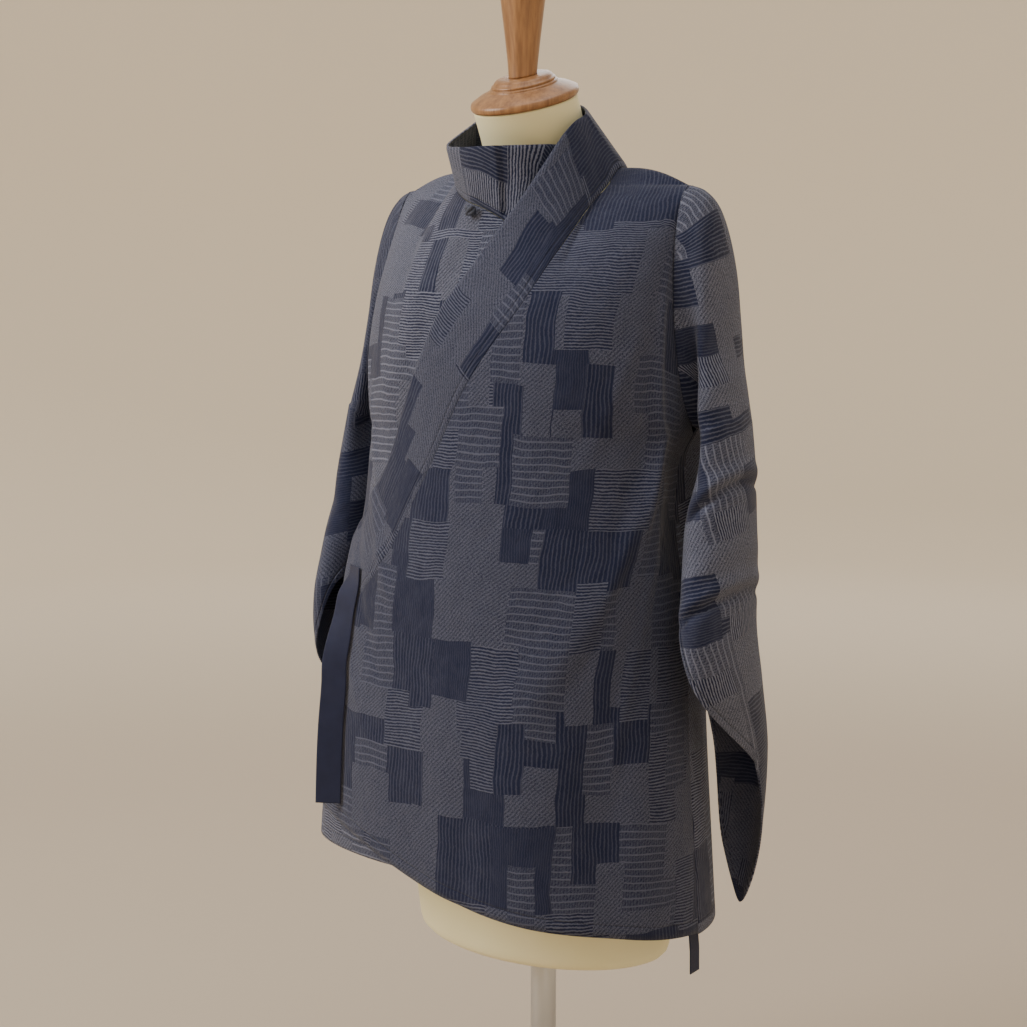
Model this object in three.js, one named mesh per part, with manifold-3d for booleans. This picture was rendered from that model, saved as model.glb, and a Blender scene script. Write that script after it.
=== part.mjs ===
// A cross-collar wrap top of patchwork-woven cloth, worn by a limbless dress form on a short stand.
// Millimetres, +Z up, the wearer faces -Y and the wearer's left is +X. The origin is under the stand's centre.
import * as THREE from 'three';
import Module from 'manifold-3d';

// ---- Cloth ----
const CLOTH = 2;            // thickness of the woven cloth
const RIBBON = 1.5;         // thickness of the tie ribbons
const SEAM = 0.3;           // gap between two pieces where they are sewn
const LAYER = 5.5;          // how far the under layer lies inside the one that covers it

// ---- Cut and hang of the top ----
const NECK_POINT = { x: 94, z: 1110 };       // the shoulder seam meets the collar here
const SHOULDER_END = { x: 172, z: 1091 };    // top of the dropped armhole seam
const ARMPIT = { x: 184, z: 850 };           // bottom of the armhole seam
const ARMHOLE_DEPTH = 40;                    // half the armhole, front to back
const NECK_FRONT = 72;                       // neckline's reach in front of the shoulder seam
const NECK_BACK = 68;                        // and behind it
const SHOULDER_CROWN = 6;                    // how far the shoulder seam bows up between its ends
const SHOULDER_ROUND = 150;                  // height over which the chest rounds back to the shoulder seam
const CORNER_Z = 650;                        // where the outer front's free edge meets the collar band

// Level sections of the body of the top: height, half width, front and back reach, middle and side seam
const BODY = [
  { z: 320, half: 236, front: -205, back: 112, midX: -15, sideY: -45 },
  { z: 425, half: 228, front: -200, back: 112, midX: -15, sideY: -45 },
  { z: 530, half: 218, front: -196, back: 112, midX: -14, sideY: -42 },
  { z: 600, half: 210, front: -191, back: 113, midX: -12, sideY: -36 },
  { z: 690, half: 200, front: -184, back: 114, midX: -8, sideY: -28 },
  { z: 760, half: 190, front: -176, back: 115, midX: -3, sideY: -16 },
  { z: 850, half: 184, front: -165, back: 115, midX: 0, sideY: 0 },
  { z: 930, half: 180, front: -155, back: 112, midX: 0, sideY: 8 },
  { z: 1000, half: 176.4, front: -140, back: 105, midX: 0, sideY: 10 },
  { z: 1091, half: 172, front: -118, back: 92, midX: 0, sideY: 0 },
  { z: 1110, half: 170.8, front: -108, back: 84, midX: 0, sideY: 0 },
];

// Hems: height against the angle round the body, 0 at the wearer's left side and 180 at the right
const OUTER_HEM = [
  { angle: 0, z: 346 },
  { angle: 50, z: 364 },
  { angle: 75, z: 378 },
  { angle: 90, z: 392 },
  { angle: 115, z: 424 },
  { angle: 140, z: 438 },
  { angle: 180, z: 438 },
];
const UNDER_HEM = [
  { angle: 0, z: 385 },
  { angle: 90, z: 402 },
  { angle: 120, z: 402 },
  { angle: 180, z: 388 },
];
const BACK_HEM = [
  { angle: 0, z: 344 },
  { angle: 90, z: 352 },
  { angle: 180, z: 384 },
];

// The outer collar band, from the shoulder down to its end: its sewn edge and its free edge
const OUTER_BAND = [
  { at: 0, sewnX: 94, sewnZ: 1110, freeX: 66, freeY: -24, freeZ: 1163 },
  { at: 0.24, sewnX: 93, sewnZ: 1066, freeX: 64, freeY: -64, freeZ: 1140 },
  { at: 0.32, sewnX: 87, sewnZ: 1030, freeX: 46, freeY: -104, freeZ: 1084 },
  { at: 0.4, sewnX: 66, sewnZ: 976, freeX: 10, freeY: -128, freeZ: 1026 },
  { at: 0.48, sewnX: 32, sewnZ: 924, freeX: -27, freeY: -143, freeZ: 972 },
  { at: 0.54, sewnX: 8, sewnZ: 884, freeX: -48, freeY: -151, freeZ: 926 },
  { at: 0.61, sewnX: -16, sewnZ: 830, freeX: -72, freeY: -153, freeZ: 866 },
  { at: 0.69, sewnX: -46, sewnZ: 775, freeX: -94, freeY: -148, freeZ: 812 },
  { at: 0.78, sewnX: -80, sewnZ: 718, freeX: -128, freeY: -134, freeZ: 770 },
  { at: 0.89, sewnX: -124, sewnZ: 674, freeX: -158, freeY: -110, freeZ: 738 },
  { at: 1, sewnX: -176, sewnZ: 650, freeX: -178, freeY: -80, freeZ: 712 },
];
const BAND_LIES_FROM = 930;   // below this height the outer band lies on the chest
// The inner collar band, from the shoulder across the front of the neck, and its hidden end
const INNER_BAND = [
  { sewnX: -94, sewnZ: 1110, freeX: -76, freeY: -20, freeZ: 1160 },
  { sewnX: -72, sewnZ: 1093, freeX: -72, freeY: -74, freeZ: 1135 },
  { sewnX: -40, sewnZ: 1078, freeX: -38, freeY: -104, freeZ: 1129 },
  { sewnX: 0, sewnZ: 1066, freeX: 2, freeY: -111, freeZ: 1129 },
  { sewnX: 30, sewnZ: 1052, freeX: 34, freeY: -96, freeZ: 1130 },
  { sewnX: 52, sewnZ: 1030, freeX: 54, freeY: -58, freeZ: 1131 },
  { sewnX: 78, sewnZ: 992, freeX: 60, freeY: -50, freeZ: 1120 },
  { sewnX: 96, sewnZ: 940, freeX: 70, freeY: -50, freeZ: 1100 },
];
// The collar's top edge behind the neck, from the centre back to the shoulder
const COLLAR_BACK = [
  { x: 0, y: 26, z: 1176 },
  { x: 34, y: 16, z: 1175 },
];

// Soft folds of the body: a ridge (or a trough, if its height is negative) from one point to another
const BODY_FOLDS = [
  { face: -1, angle: 18, z: 800, toAngle: 52, toZ: 620, width: 34, height: 5 },
  { face: -1, angle: 14, z: 720, toAngle: 34, toZ: 500, width: 34, height: -4 },
  { face: -1, angle: 62, z: 560, toAngle: 60, toZ: 340, width: 40, height: 5 },
  { face: -1, angle: 36, z: 560, toAngle: 34, toZ: 330, width: 36, height: -5 },
  { face: -1, angle: 98, z: 640, toAngle: 92, toZ: 360, width: 38, height: -4 },
  { face: 1, angle: 34, z: 940, toAngle: 64, toZ: 700, width: 36, height: 5 },
  { face: 1, angle: 146, z: 940, toAngle: 116, toZ: 700, width: 36, height: 5 },
  { face: 1, angle: 45, z: 640, toAngle: 42, toZ: 340, width: 38, height: 7 },
  { face: 1, angle: 72, z: 700, toAngle: 74, toZ: 340, width: 34, height: -6 },
  { face: 1, angle: 100, z: 760, toAngle: 100, toZ: 340, width: 36, height: 7 },
  { face: 1, angle: 135, z: 660, toAngle: 138, toZ: 360, width: 36, height: -6 },
];

// Rings of the wearer's left sleeve: where it lies next to the body, where it lies furthest out, and its depth.
// The first seven fan out from the armhole about the armpit, and the rest are level.
const SLEEVE_CAP = [
  { innerX: 184, innerZ: 850, outerX: 172, outerZ: 1091, midY: 0, depth: 40 },
  { innerX: 186, innerZ: 849, outerX: 187, outerZ: 1085, midY: 3, depth: 41 },
  { innerX: 188, innerZ: 848, outerX: 200, outerZ: 1069, midY: 4, depth: 42 },
  { innerX: 190, innerZ: 847, outerX: 210, outerZ: 1032, midY: 4, depth: 44 },
  { innerX: 191, innerZ: 845, outerX: 216, outerZ: 982, midY: 2, depth: 46 },
  { innerX: 192, innerZ: 842, outerX: 222, outerZ: 922, midY: -2, depth: 48 },
  { innerX: 193, innerZ: 838, outerX: 232, outerZ: 864, midY: -7, depth: 49 },
];
const SLEEVE = [
  { z: 860, inner: 193, outer: 233, midY: -8, depth: 49 },
  { z: 820, inner: 194, outer: 239, midY: -12, depth: 50 },
  { z: 760, inner: 195, outer: 248, midY: -20, depth: 53 },
  { z: 700, inner: 200, outer: 255, midY: -30, depth: 58 },
  { z: 654, inner: 205, outer: 259, midY: -37, depth: 62 },
  { z: 600, inner: 208, outer: 264, midY: -32, depth: 62 },
  { z: 524, inner: 206, outer: 262, midY: -12, depth: 60 },
  { z: 425, inner: 190, outer: 250, midY: 2, depth: 58 },
  { z: 340, inner: 180, outer: 232, midY: 6, depth: 56 },
];
const SLEEVE_TOP_Z = 820;
const SLEEVE_CLEAR = 6;     // between the hanging sleeve and the body of the top
// The sleeve's slanting mouth: 0 at its outside, 90 at its front, 180 next to the body, 270 behind
const MOUTH = [
  { angle: 0, z: 522 },
  { angle: 45, z: 566 },
  { angle: 90, z: 612 },
  { angle: 135, z: 672 },
  { angle: 180, z: 610 },
  { angle: 200, z: 500 },
  { angle: 225, z: 410 },
  { angle: 270, z: 346 },
  { angle: 300, z: 374 },
  { angle: 330, z: 448 },
  { angle: 360, z: 522 },
];
// The hollow between the sleeve and the body, down the front of the sleeve: its depth, its middle, its spread as
// an angle round the sleeve, and the heights between which it runs
const SLEEVE_HOLLOW = { depth: 9, angle: 130, spread: 42, from: 1050, to: 640 };
// Creases round the sleeve where it buckles at the elbow
const SLEEVE_FOLDS = [
  { z: 806, toZ: 776, width: 13, height: -7 },
  { z: 782, toZ: 748, width: 13, height: 6 },
  { z: 722, toZ: 700, width: 12, height: -6 },
  { z: 698, toZ: 676, width: 13, height: 6 },
];

// ---- Ties ----
const TIE = { width: 27, top: 700, end: 452, topAngle: 131, endAngle: 120, hangs: new THREE.Vector3(-0.85, -0.42, 0) };
const INNER_TIE = { width: 18, top: 690, end: 296, y: -30 };
const KNOT = { x: -18, z: 1063, radius: 6 };

// ---- Dress form ----
const FORM = [
  { z: 285, half: 146, front: 98, back: 86 },
  { z: 300, half: 151, front: 101, back: 90 },
  { z: 430, half: 164, front: 112, back: 94 },
  { z: 530, half: 156, front: 105, back: 90 },
  { z: 640, half: 128, front: 90, back: 78 },
  { z: 740, half: 137, front: 102, back: 84 },
  { z: 835, half: 150, front: 126, back: 92 },
  { z: 930, half: 156, front: 112, back: 90 },
  { z: 1000, half: 158, front: 96, back: 82 },
  { z: 1060, half: 160, front: 80, back: 70 },
  { z: 1110, half: 160, front: 70, back: 62 },
];
const FORM_FLOOR = 285;
const FORM_DROP = 2.5;      // the form's shoulder line lies this far under the shoulder seam
const FORM_SLACK = { neck: 0.5, shoulder: 0.74 };   // its depth there, as a share of the top's
const SHOULDER_START = 1000;
const NECK_RADIUS = 53;
const NECK_TILT = 0.32;     // the neck's top leans forward
const CAP = { y: -37, z: 1176, radius: 55, rim: 8, height: 26 };
const FINIAL = { foot: 14.5, widest: 26, height: 128 };

// ---- Stand ----
const BASE = { radius: 165, height: 18, edge: 4 };
const POLE_RADIUS = 14;

// ---- Small helpers ----
const { clamp, lerp, smoothstep, degToRad, radToDeg } = THREE.MathUtils;
const V = (x, y, z) => new THREE.Vector3(x, y, z);

// Reads a column of a table at any value of its key, along a smooth curve through the rows
function read(rows, key, column, at) {
  const rising = rows[rows.length - 1][key] > rows[0][key] ? 1 : -1;
  const place = rows.findIndex((row) => rising * row[key] >= rising * at);
  const right = place === -1 ? rows.length - 1 : Math.max(place, 1);
  const left = right - 1;
  const span = rows[right][key] - rows[left][key];
  const t = clamp((at - rows[left][key]) / span, 0, 1);
  const slope = (i) => {
    const before = rows[Math.max(i - 1, 0)];
    const after = rows[Math.min(i + 1, rows.length - 1)];
    return (after[column] - before[column]) / (after[key] - before[key]);
  };
  const [a, b] = [rows[left][column], rows[right][column]];
  const [startSlope, endSlope] = [slope(left) * span, slope(right) * span];
  const t2 = t * t;
  const t3 = t2 * t;
  return a * (2 * t3 - 3 * t2 + 1) + startSlope * (t3 - 2 * t2 + t) + b * (3 * t2 - 2 * t3) + endSlope * (t3 - t2);
}

// Reads a column of a table by row number, whole or between two rows
function readRow(rows, column, row) {
  const numbered = rows.map((entry, index) => ({ index, value: entry[column] }));
  return read(numbered, 'index', 'value', row);
}

// The way a surface faces, from its neighbours on either side
function facing(pointAt, u, v) {
  const step = 0.004;
  const [u0, u1] = [Math.max(u - step, 0), Math.min(u + step, 1)];
  const [v0, v1] = [Math.max(v - step, 0), Math.min(v + step, 1)];
  const along = pointAt(u1, v).sub(pointAt(u0, v));
  const across = pointAt(u, v1).sub(pointAt(u, v0));
  return along.cross(across).normalize();
}

// A closed geometry from loose triangles, turned so that its faces point out
function solid(points, triangles) {
  let volume = 0;
  for (const [a, b, c] of triangles) {
    volume += points[a].dot(points[b].clone().cross(points[c]));
  }
  const faces = volume < 0 ? triangles.map(([a, b, c]) => [a, c, b]) : triangles;
  const geometry = new THREE.BufferGeometry();
  geometry.setAttribute('position', new THREE.Float32BufferAttribute(points.flatMap((p) => [p.x, p.y, p.z]), 3));
  geometry.setIndex(faces.flat());
  return geometry;
}

// A cloth wall: a grid of points and the same grid moved in by the wall's thickness, closed at its edges.
// A ring wall joins its last column to its first.
function wall({ pointAt, columns, rows, thickness = CLOTH, ring = false, inward }) {
  const across = ring ? columns : columns + 1;
  const points = [];
  for (const depth of [0, thickness]) {
    for (let j = 0; j <= rows; j += 1) {
      for (let i = 0; i < across; i += 1) {
        const [u, v] = [i / columns, j / rows];
        points.push(pointAt(u, v).addScaledVector(inward(u, v), depth));
      }
    }
  }
  const layer = across * (rows + 1);
  const at = (i, j, k) => k * layer + j * across + (i % across);
  const triangles = [];
  const quad = (a, b, c, d) => triangles.push([a, b, c], [a, c, d]);
  for (let j = 0; j < rows; j += 1) {
    for (let i = 0; i < columns; i += 1) {
      quad(at(i, j, 0), at(i + 1, j, 0), at(i + 1, j + 1, 0), at(i, j + 1, 0));
      quad(at(i, j, 1), at(i, j + 1, 1), at(i + 1, j + 1, 1), at(i + 1, j, 1));
    }
  }
  for (let i = 0; i < columns; i += 1) {
    quad(at(i, 0, 0), at(i, 0, 1), at(i + 1, 0, 1), at(i + 1, 0, 0));
    quad(at(i, rows, 0), at(i + 1, rows, 0), at(i + 1, rows, 1), at(i, rows, 1));
  }
  for (let j = 0; j < rows && !ring; j += 1) {
    quad(at(0, j, 0), at(0, j + 1, 0), at(0, j + 1, 1), at(0, j, 1));
    quad(at(columns, j, 0), at(columns, j, 1), at(columns, j + 1, 1), at(columns, j + 1, 0));
  }
  return solid(points, triangles);
}

// A closed solid through level or leaning rings, with a point at each end
function loft(rings, segments) {
  const points = [];
  for (const { pointAt } of rings) {
    for (let i = 0; i < segments; i += 1) {
      points.push(pointAt((2 * Math.PI * i) / segments));
    }
  }
  const triangles = [];
  for (let j = 0; j + 1 < rings.length; j += 1) {
    for (let i = 0; i < segments; i += 1) {
      const next = (i + 1) % segments;
      const [a, b] = [j * segments + i, j * segments + next];
      triangles.push([a, b, b + segments], [a, b + segments, a + segments]);
    }
  }
  for (const [first, flipped] of [[0, true], [(rings.length - 1) * segments, false]]) {
    const middle = V(0, 0, 0);
    for (let i = 0; i < segments; i += 1) {
      middle.addScaledVector(points[first + i], 1 / segments);
    }
    const hub = points.push(middle) - 1;
    for (let i = 0; i < segments; i += 1) {
      const [a, b] = [first + i, first + ((i + 1) % segments)];
      triangles.push(flipped ? [hub, b, a] : [hub, a, b]);
    }
  }
  return solid(points, triangles);
}

const manifold = await Module();
manifold.setup();

function toManifold(geometry) {
  const vertProperties = geometry.getAttribute('position').array;
  const triVerts = new Uint32Array(geometry.getIndex().array);
  return new manifold.Manifold(new manifold.Mesh({ numProp: 3, vertProperties, triVerts }));
}

function joined(first, second) {
  const mesh = toManifold(first).add(toManifold(second)).getMesh();
  const geometry = new THREE.BufferGeometry();
  geometry.setAttribute('position', new THREE.Float32BufferAttribute(mesh.vertProperties, 3));
  geometry.setIndex(Array.from(mesh.triVerts));
  return geometry;
}

// ---- The body of the top, as one surface ----
function ridgeZ(x) {
  const share = clamp((Math.abs(x) - NECK_POINT.x) / (SHOULDER_END.x - NECK_POINT.x), 0, 1);
  return lerp(NECK_POINT.z, SHOULDER_END.z, share) + SHOULDER_CROWN * Math.sin(Math.PI * share);
}

function necklineY(face, x) {
  const reach = face < 0 ? -NECK_FRONT : NECK_BACK;
  return reach * Math.sqrt(Math.max(1 - (x / NECK_POINT.x) ** 2, 0));
}

// How far the chest or the back lies from the shoulder line, without the curve in to the side
function chestY(face, x, z) {
  const full = read(BODY, 'z', face < 0 ? 'front' : 'back', z);
  const rounding = Math.sin((Math.PI / 2) * clamp((ridgeZ(x) - z) / SHOULDER_ROUND, 0, 1) ** 0.85);
  const start = necklineY(face, x);
  return start + (full - start) * rounding;
}

function armholeDepth(z) {
  const t = clamp((z - ARMPIT.z) / (SHOULDER_END.z - ARMPIT.z), 0, 1);
  return ARMHOLE_DEPTH * 2 * Math.sqrt(t * (1 - t));
}

function foldHeight(face, angle, z) {
  const fade = smoothstep(Math.sin(angle), 0.05, 0.35);
  let height = 0;
  for (const fold of BODY_FOLDS) {
    if (fold.face !== face) continue;
    const t = clamp((fold.z - z) / (fold.z - fold.toZ), -0.5, 1.5);
    const middle = degToRad(lerp(fold.angle, fold.toAngle, t));
    const away = (angle - middle) * 200;
    const along = smoothstep(t, -0.45, 0.25) * (1 - smoothstep(t, 1.0, 1.5));
    const reachesHem = fold.toZ < 450 ? smoothstep(t, -0.45, 0.35) : along;
    height += fold.height * Math.exp(-((away / fold.width) ** 2)) * reachesHem;
  }
  return height * fade;
}

// A point of the body: face -1 is the front and 1 the back, angle 0 the wearer's left side and pi the right
function body(face, angle, z) {
  const half = read(BODY, 'z', 'half', z);
  const side = read(BODY, 'z', 'sideY', z) + face * armholeDepth(z);
  const x = read(BODY, 'z', 'midX', z) + half * Math.cos(angle);
  const curve = Math.sin(angle) ** 0.9;
  const y = side + (chestY(face, x, z) - side) * curve;
  const out = foldHeight(face, angle, z);
  return V(x + out * Math.cos(angle) * 0.8, y + face * (out * Math.sin(angle) + SEAM / 2), z);
}

function bodyFacing(face, angle, z) {
  const step = 0.01;
  const [a0, a1] = [Math.max(angle - step, 0), Math.min(angle + step, Math.PI)];
  const along = body(face, a1, z).sub(body(face, a0, z));
  const upwards = body(face, angle, z + 1).sub(body(face, angle, z - 1));
  const way = along.cross(upwards).multiplyScalar(face).normalize();
  // At a seam both panels face the same way, so that their walls stay side by side
  const x = body(face, angle, z).x;
  const atRidge = Math.abs(x) > NECK_POINT.x - 4 ? 1 - smoothstep(ridgeZ(x) - z, 0, 24) : 0;
  const atSide = 1 - smoothstep(Math.sin(angle), 0, 0.12);
  const atArmhole = atSide * smoothstep(z, ARMPIT.z, ARMPIT.z + 30);
  way.x *= 1 - atArmhole;
  way.y *= 1 - Math.max(atRidge, atSide - atArmhole);
  return way.normalize();
}

function angleAt(x, z) {
  const ratio = (x - read(BODY, 'z', 'midX', z)) / read(BODY, 'z', 'half', z);
  return Math.acos(clamp(ratio, -1, 1));
}

// A body panel from the angle and height of each of its points
function bodyPanel({ face, columns, rows, placeAt, inset = () => 0 }) {
  const point = (u, v) => {
    const { angle, z } = placeAt(u, v);
    return body(face, angle, z).addScaledVector(bodyFacing(face, angle, z), -inset(angle, z));
  };
  const inward = (u, v) => {
    const { angle, z } = placeAt(u, v);
    return bodyFacing(face, angle, z).negate();
  };
  return wall({ pointAt: point, inward, columns, rows });
}

// ---- Pieces of the top ----
const ROW_CROWDING = 1.6;     // rows lie closer together towards the shoulder, where the cloth curves most
const LEVEL_ROWS = 10;        // the outer front's rows below its collar band
const BAND_ROWS = 22;         // and its rows beside the band
const LEVEL_SHARE = LEVEL_ROWS / (LEVEL_ROWS + BAND_ROWS);
const RIGHT_COLUMNS = 7;      // the under front's columns from the armhole to the neck point
const NECK_COLUMNS = 12;      // and from there across the chest, of which the band is sewn to the first nine
const BAND_COLUMNS = 9;

function crowded(t) {
  return 1 - (1 - t) ** ROW_CROWDING;
}

// The outer front: level rows up to the free corner, then rows that end at the collar band
function outerFrontPlace(u, v) {
  const share = Math.max(v - LEVEL_SHARE, 0) / (1 - LEVEL_SHARE);
  const [seamX, seamZ] = ['sewnX', 'sewnZ'].map((column) => read(OUTER_BAND, 'at', column, 1 - share));
  const angle = u * angleAt(seamX, seamZ);
  if (v < LEVEL_SHARE) {
    const hem = read(OUTER_HEM, 'angle', 'z', radToDeg(angle));
    return { angle, z: lerp(hem, CORNER_Z, v / LEVEL_SHARE) };
  }
  const risen = (seamZ - CORNER_Z) / (NECK_POINT.z - CORNER_Z);
  const topAngle = u * angleAt(NECK_POINT.x, NECK_POINT.z);
  const topX = SHOULDER_END.x * Math.cos(topAngle);
  const rise = (ridgeZ(topX) - SHOULDER_END.z) / (NECK_POINT.z - SHOULDER_END.z);
  return { angle, z: lerp(lerp(CORNER_Z, SHOULDER_END.z, risen), seamZ, clamp(rise, 0, 1)) };
}

function outerFront() {
  return bodyPanel({ face: -1, columns: 24, rows: LEVEL_ROWS + BAND_ROWS, placeAt: outerFrontPlace });
}

// The under front's top edge: the shoulder seam, and then the seam of the inner band
function underTop(u) {
  const split = RIGHT_COLUMNS / (RIGHT_COLUMNS + NECK_COLUMNS);
  const neckAngle = angleAt(-NECK_POINT.x, NECK_POINT.z);
  if (u < split) {
    const angle = lerp(Math.PI, neckAngle, u / split);
    return { angle, z: ridgeZ(SHOULDER_END.x * Math.cos(angle)) };
  }
  const lastRow = INNER_BAND[INNER_BAND.length - 1];
  const angle = lerp(neckAngle, angleAt(lastRow.sewnX, lastRow.sewnZ), (u - split) / (1 - split));
  return { angle, z: read(INNER_BAND, 'sewnX', 'sewnZ', SHOULDER_END.x * Math.cos(angle)) };
}

function underFrontPlace(u, v) {
  const top = underTop(u);
  const hem = read(UNDER_HEM, 'angle', 'z', radToDeg(top.angle));
  return { angle: top.angle, z: lerp(hem, top.z, crowded(v)) };
}

// The under front lies inside the outer front and its band, and comes out level at its own seams
function underInset(angle, z) {
  const x = body(-1, angle, z).x;
  const edge = read([...OUTER_BAND].reverse(), 'freeX', 'freeZ', x);
  const above = smoothstep(z, edge + 8, edge + 90);
  const atSide = smoothstep(radToDeg(angle), 165, 177);
  return LAYER * (1 - Math.max(above, atSide));
}

function underFront() {
  const columns = RIGHT_COLUMNS + NECK_COLUMNS;
  return bodyPanel({ face: -1, columns, rows: 22, placeAt: underFrontPlace, inset: underInset });
}

function backPlace(u, v) {
  const angle = u * Math.PI;
  const x = SHOULDER_END.x * Math.cos(angle);
  const hem = read(BACK_HEM, 'angle', 'z', radToDeg(angle));
  return { angle, z: lerp(hem, ridgeZ(x), crowded(v)) };
}

function backPanel() {
  return bodyPanel({ face: 1, columns: 24, rows: 22, placeAt: backPlace });
}

// Each half of the collar: s runs from the centre back to its end, t from the sewn edge to the free edge
const BACK_COLUMNS = 5;

function onBody(face, angle, z, inset) {
  const way = bodyFacing(face, angle, z);
  return { point: body(face, angle, z).addScaledVector(way, -inset), facing: way };
}

function backSeam(side, t) {
  const x = side * NECK_POINT.x * Math.sin((Math.PI / 2) * t);
  return onBody(1, angleAt(x, NECK_POINT.z), NECK_POINT.z, 0);
}

// The band from its seam and its free edge: it stands up from the neck, or lies on the chest
function collarBand({ side, columns, sewnAt, freeAt, lyingAt }) {
  const backShare = BACK_COLUMNS / columns;
  const backRows = COLLAR_BACK.map((row) => V(side * row.x, row.y, row.z));
  const backCurve = new THREE.CatmullRomCurve3([...backRows, freeAt(0), freeAt(0.15)], false, 'centripetal');
  const pointAt = (s, t) => {
    const beyond = (s - backShare) / (1 - backShare);
    const low = s < backShare ? backSeam(side, s / backShare).point : sewnAt(beyond).point;
    const high = s < backShare ? backCurve.getPoint(((s / backShare) * 2) / 3) : freeAt(beyond);
    const start = (2 * SEAM) / low.distanceTo(high);
    const point = low.lerp(high, lerp(start, 1, t));
    return s < backShare ? point : lyingAt(point, beyond);
  };
  const inward = (s, t) => {
    const beyond = Math.max(s - backShare, 0) / (1 - backShare);
    const way = facing(pointAt, s, t).multiplyScalar(side);
    const seamWay = s < backShare ? backSeam(side, s / backShare).facing : sewnAt(beyond).facing;
    way.lerp(seamWay.clone().negate(), 1 - smoothstep(t, 0, 0.5));
    way.x *= s === 0 ? 0 : 1;
    return way.normalize();
  };
  const band = wall({ pointAt, inward, columns, rows: 4 });
  return band.translate((side * SEAM) / 2, 0, 0);
}

function outerCollar() {
  const at = (column, s) => read(OUTER_BAND, 'at', column, s);
  const sewnAt = (s) => onBody(-1, angleAt(at('sewnX', s), at('sewnZ', s)), at('sewnZ', s), 0);
  const freeAt = (s) => V(at('freeX', s), at('freeY', s), at('freeZ', s));
  const lyingAt = (point, s) => {
    const lies = 1 - smoothstep(at('sewnZ', s), BAND_LIES_FROM, BAND_LIES_FROM + 60);
    const lying = body(-1, angleAt(point.x, point.z), point.z);
    return point.lerp(lying, lies);
  };
  return collarBand({ side: 1, columns: BACK_COLUMNS + BAND_ROWS, sewnAt, freeAt, lyingAt });
}

function innerCollar() {
  const split = RIGHT_COLUMNS / (RIGHT_COLUMNS + NECK_COLUMNS);
  const topAt = (s) => underTop(lerp(split, 1, (s * BAND_COLUMNS) / NECK_COLUMNS));
  const sewnAt = (s) => {
    const { angle, z } = topAt(s);
    return onBody(-1, angle, z, underInset(angle, z));
  };
  const freeAt = (s) => {
    const seamX = SHOULDER_END.x * Math.cos(topAt(s).angle);
    const [x, y, z] = ['freeX', 'freeY', 'freeZ'].map((column) => read(INNER_BAND, 'sewnX', column, seamX));
    return V(x, y, z);
  };
  return collarBand({ side: -1, columns: BACK_COLUMNS + BAND_COLUMNS, sewnAt, freeAt, lyingAt: (point) => point });
}

// A small knotted cloth button at the foot of the inner band
function collarKnot() {
  const angle = angleAt(KNOT.x, KNOT.z);
  const centre = onBody(-1, angle, KNOT.z, -KNOT.radius - SEAM).point;
  return new THREE.SphereGeometry(KNOT.radius, 14, 10).translate(centre.x, centre.y, centre.z);
}

// ---- Sleeves ----
const CAP_SHARE = 0.36;   // share of the sleeve's rows in its cap

// The sleeve hangs against the body of the top, and never inside it
function clearOfBody(point, side) {
  if (point.z > ARMPIT.z) return point;
  const [half, middle, seam] = ['half', 'midX', 'sideY'].map((column) => read(BODY, 'z', column, point.z));
  const reach = read(BODY, 'z', point.y < seam ? 'front' : 'back', point.z) - seam;
  const sine = clamp(((point.y - seam) / reach) ** (1 / 0.9), 0, 1);
  const bodyX = side * middle + half * Math.sqrt(1 - sine * sine);
  const clear = SLEEVE_CLEAR * smoothstep(ARMPIT.z - point.z, 0, 40);
  const inner = read([...SLEEVE].reverse(), 'z', 'inner', Math.min(point.z, SLEEVE_TOP_Z));
  const pushed = bodyX + clear + 0.45 * Math.max(point.x - inner, 0);
  point.x = Math.max(point.x, pushed);
  return point;
}

function sleeveHollow(angle, z) {
  const { depth, angle: middle, spread, from, to } = SLEEVE_HOLLOW;
  const along = smoothstep(from - z, 0, 110) * smoothstep(z - to, 0, 110);
  return depth * along * Math.exp(-(((radToDeg(angle) - middle) / spread) ** 2));
}

function sleevePoint(u, v) {
  const angle = 2 * Math.PI * u;
  const [cos, sin] = [Math.cos(angle), Math.sin(angle)];
  if (v <= CAP_SHARE) {
    const row = (v / CAP_SHARE) * (SLEEVE_CAP.length - 1);
    const at = (column) => readRow(SLEEVE_CAP, column, row);
    const [inner, outer] = [V(at('innerX'), 0, at('innerZ')), V(at('outerX'), 0, at('outerZ'))];
    const point = inner.lerp(outer, (1 + cos) / 2);
    const hollow = sleeveHollow(angle, point.z) * smoothstep(v, 0, CAP_SHARE / 2);
    point.x -= hollow * cos;
    point.y = at('midY') - (at('depth') - hollow) * sin;
    return point;
  }
  const t = (v - CAP_SHARE) / (1 - CAP_SHARE);
  const last = SLEEVE_CAP[SLEEVE_CAP.length - 1];
  const startZ = lerp(last.innerZ, last.outerZ, (1 + cos) / 2);
  const z = lerp(startZ, read(MOUTH, 'angle', 'z', radToDeg(angle)), t);
  const at = (column) => read([...SLEEVE].reverse(), 'z', column, z);
  const [middle, half] = [(at('inner') + at('outer')) / 2, (at('outer') - at('inner')) / 2];
  let out = 0;
  for (const fold of SLEEVE_FOLDS) {
    const foldZ = lerp(fold.z, fold.toZ, (1 + sin) / 2);
    out += fold.height * Math.exp(-(((z - foldZ) / fold.width) ** 2));
  }
  out = out * smoothstep(cos, -0.55, 0.1) - sleeveHollow(angle, z);
  return V(middle + (half + out) * cos, at('midY') - (at('depth') + out) * sin, z);
}

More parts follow.
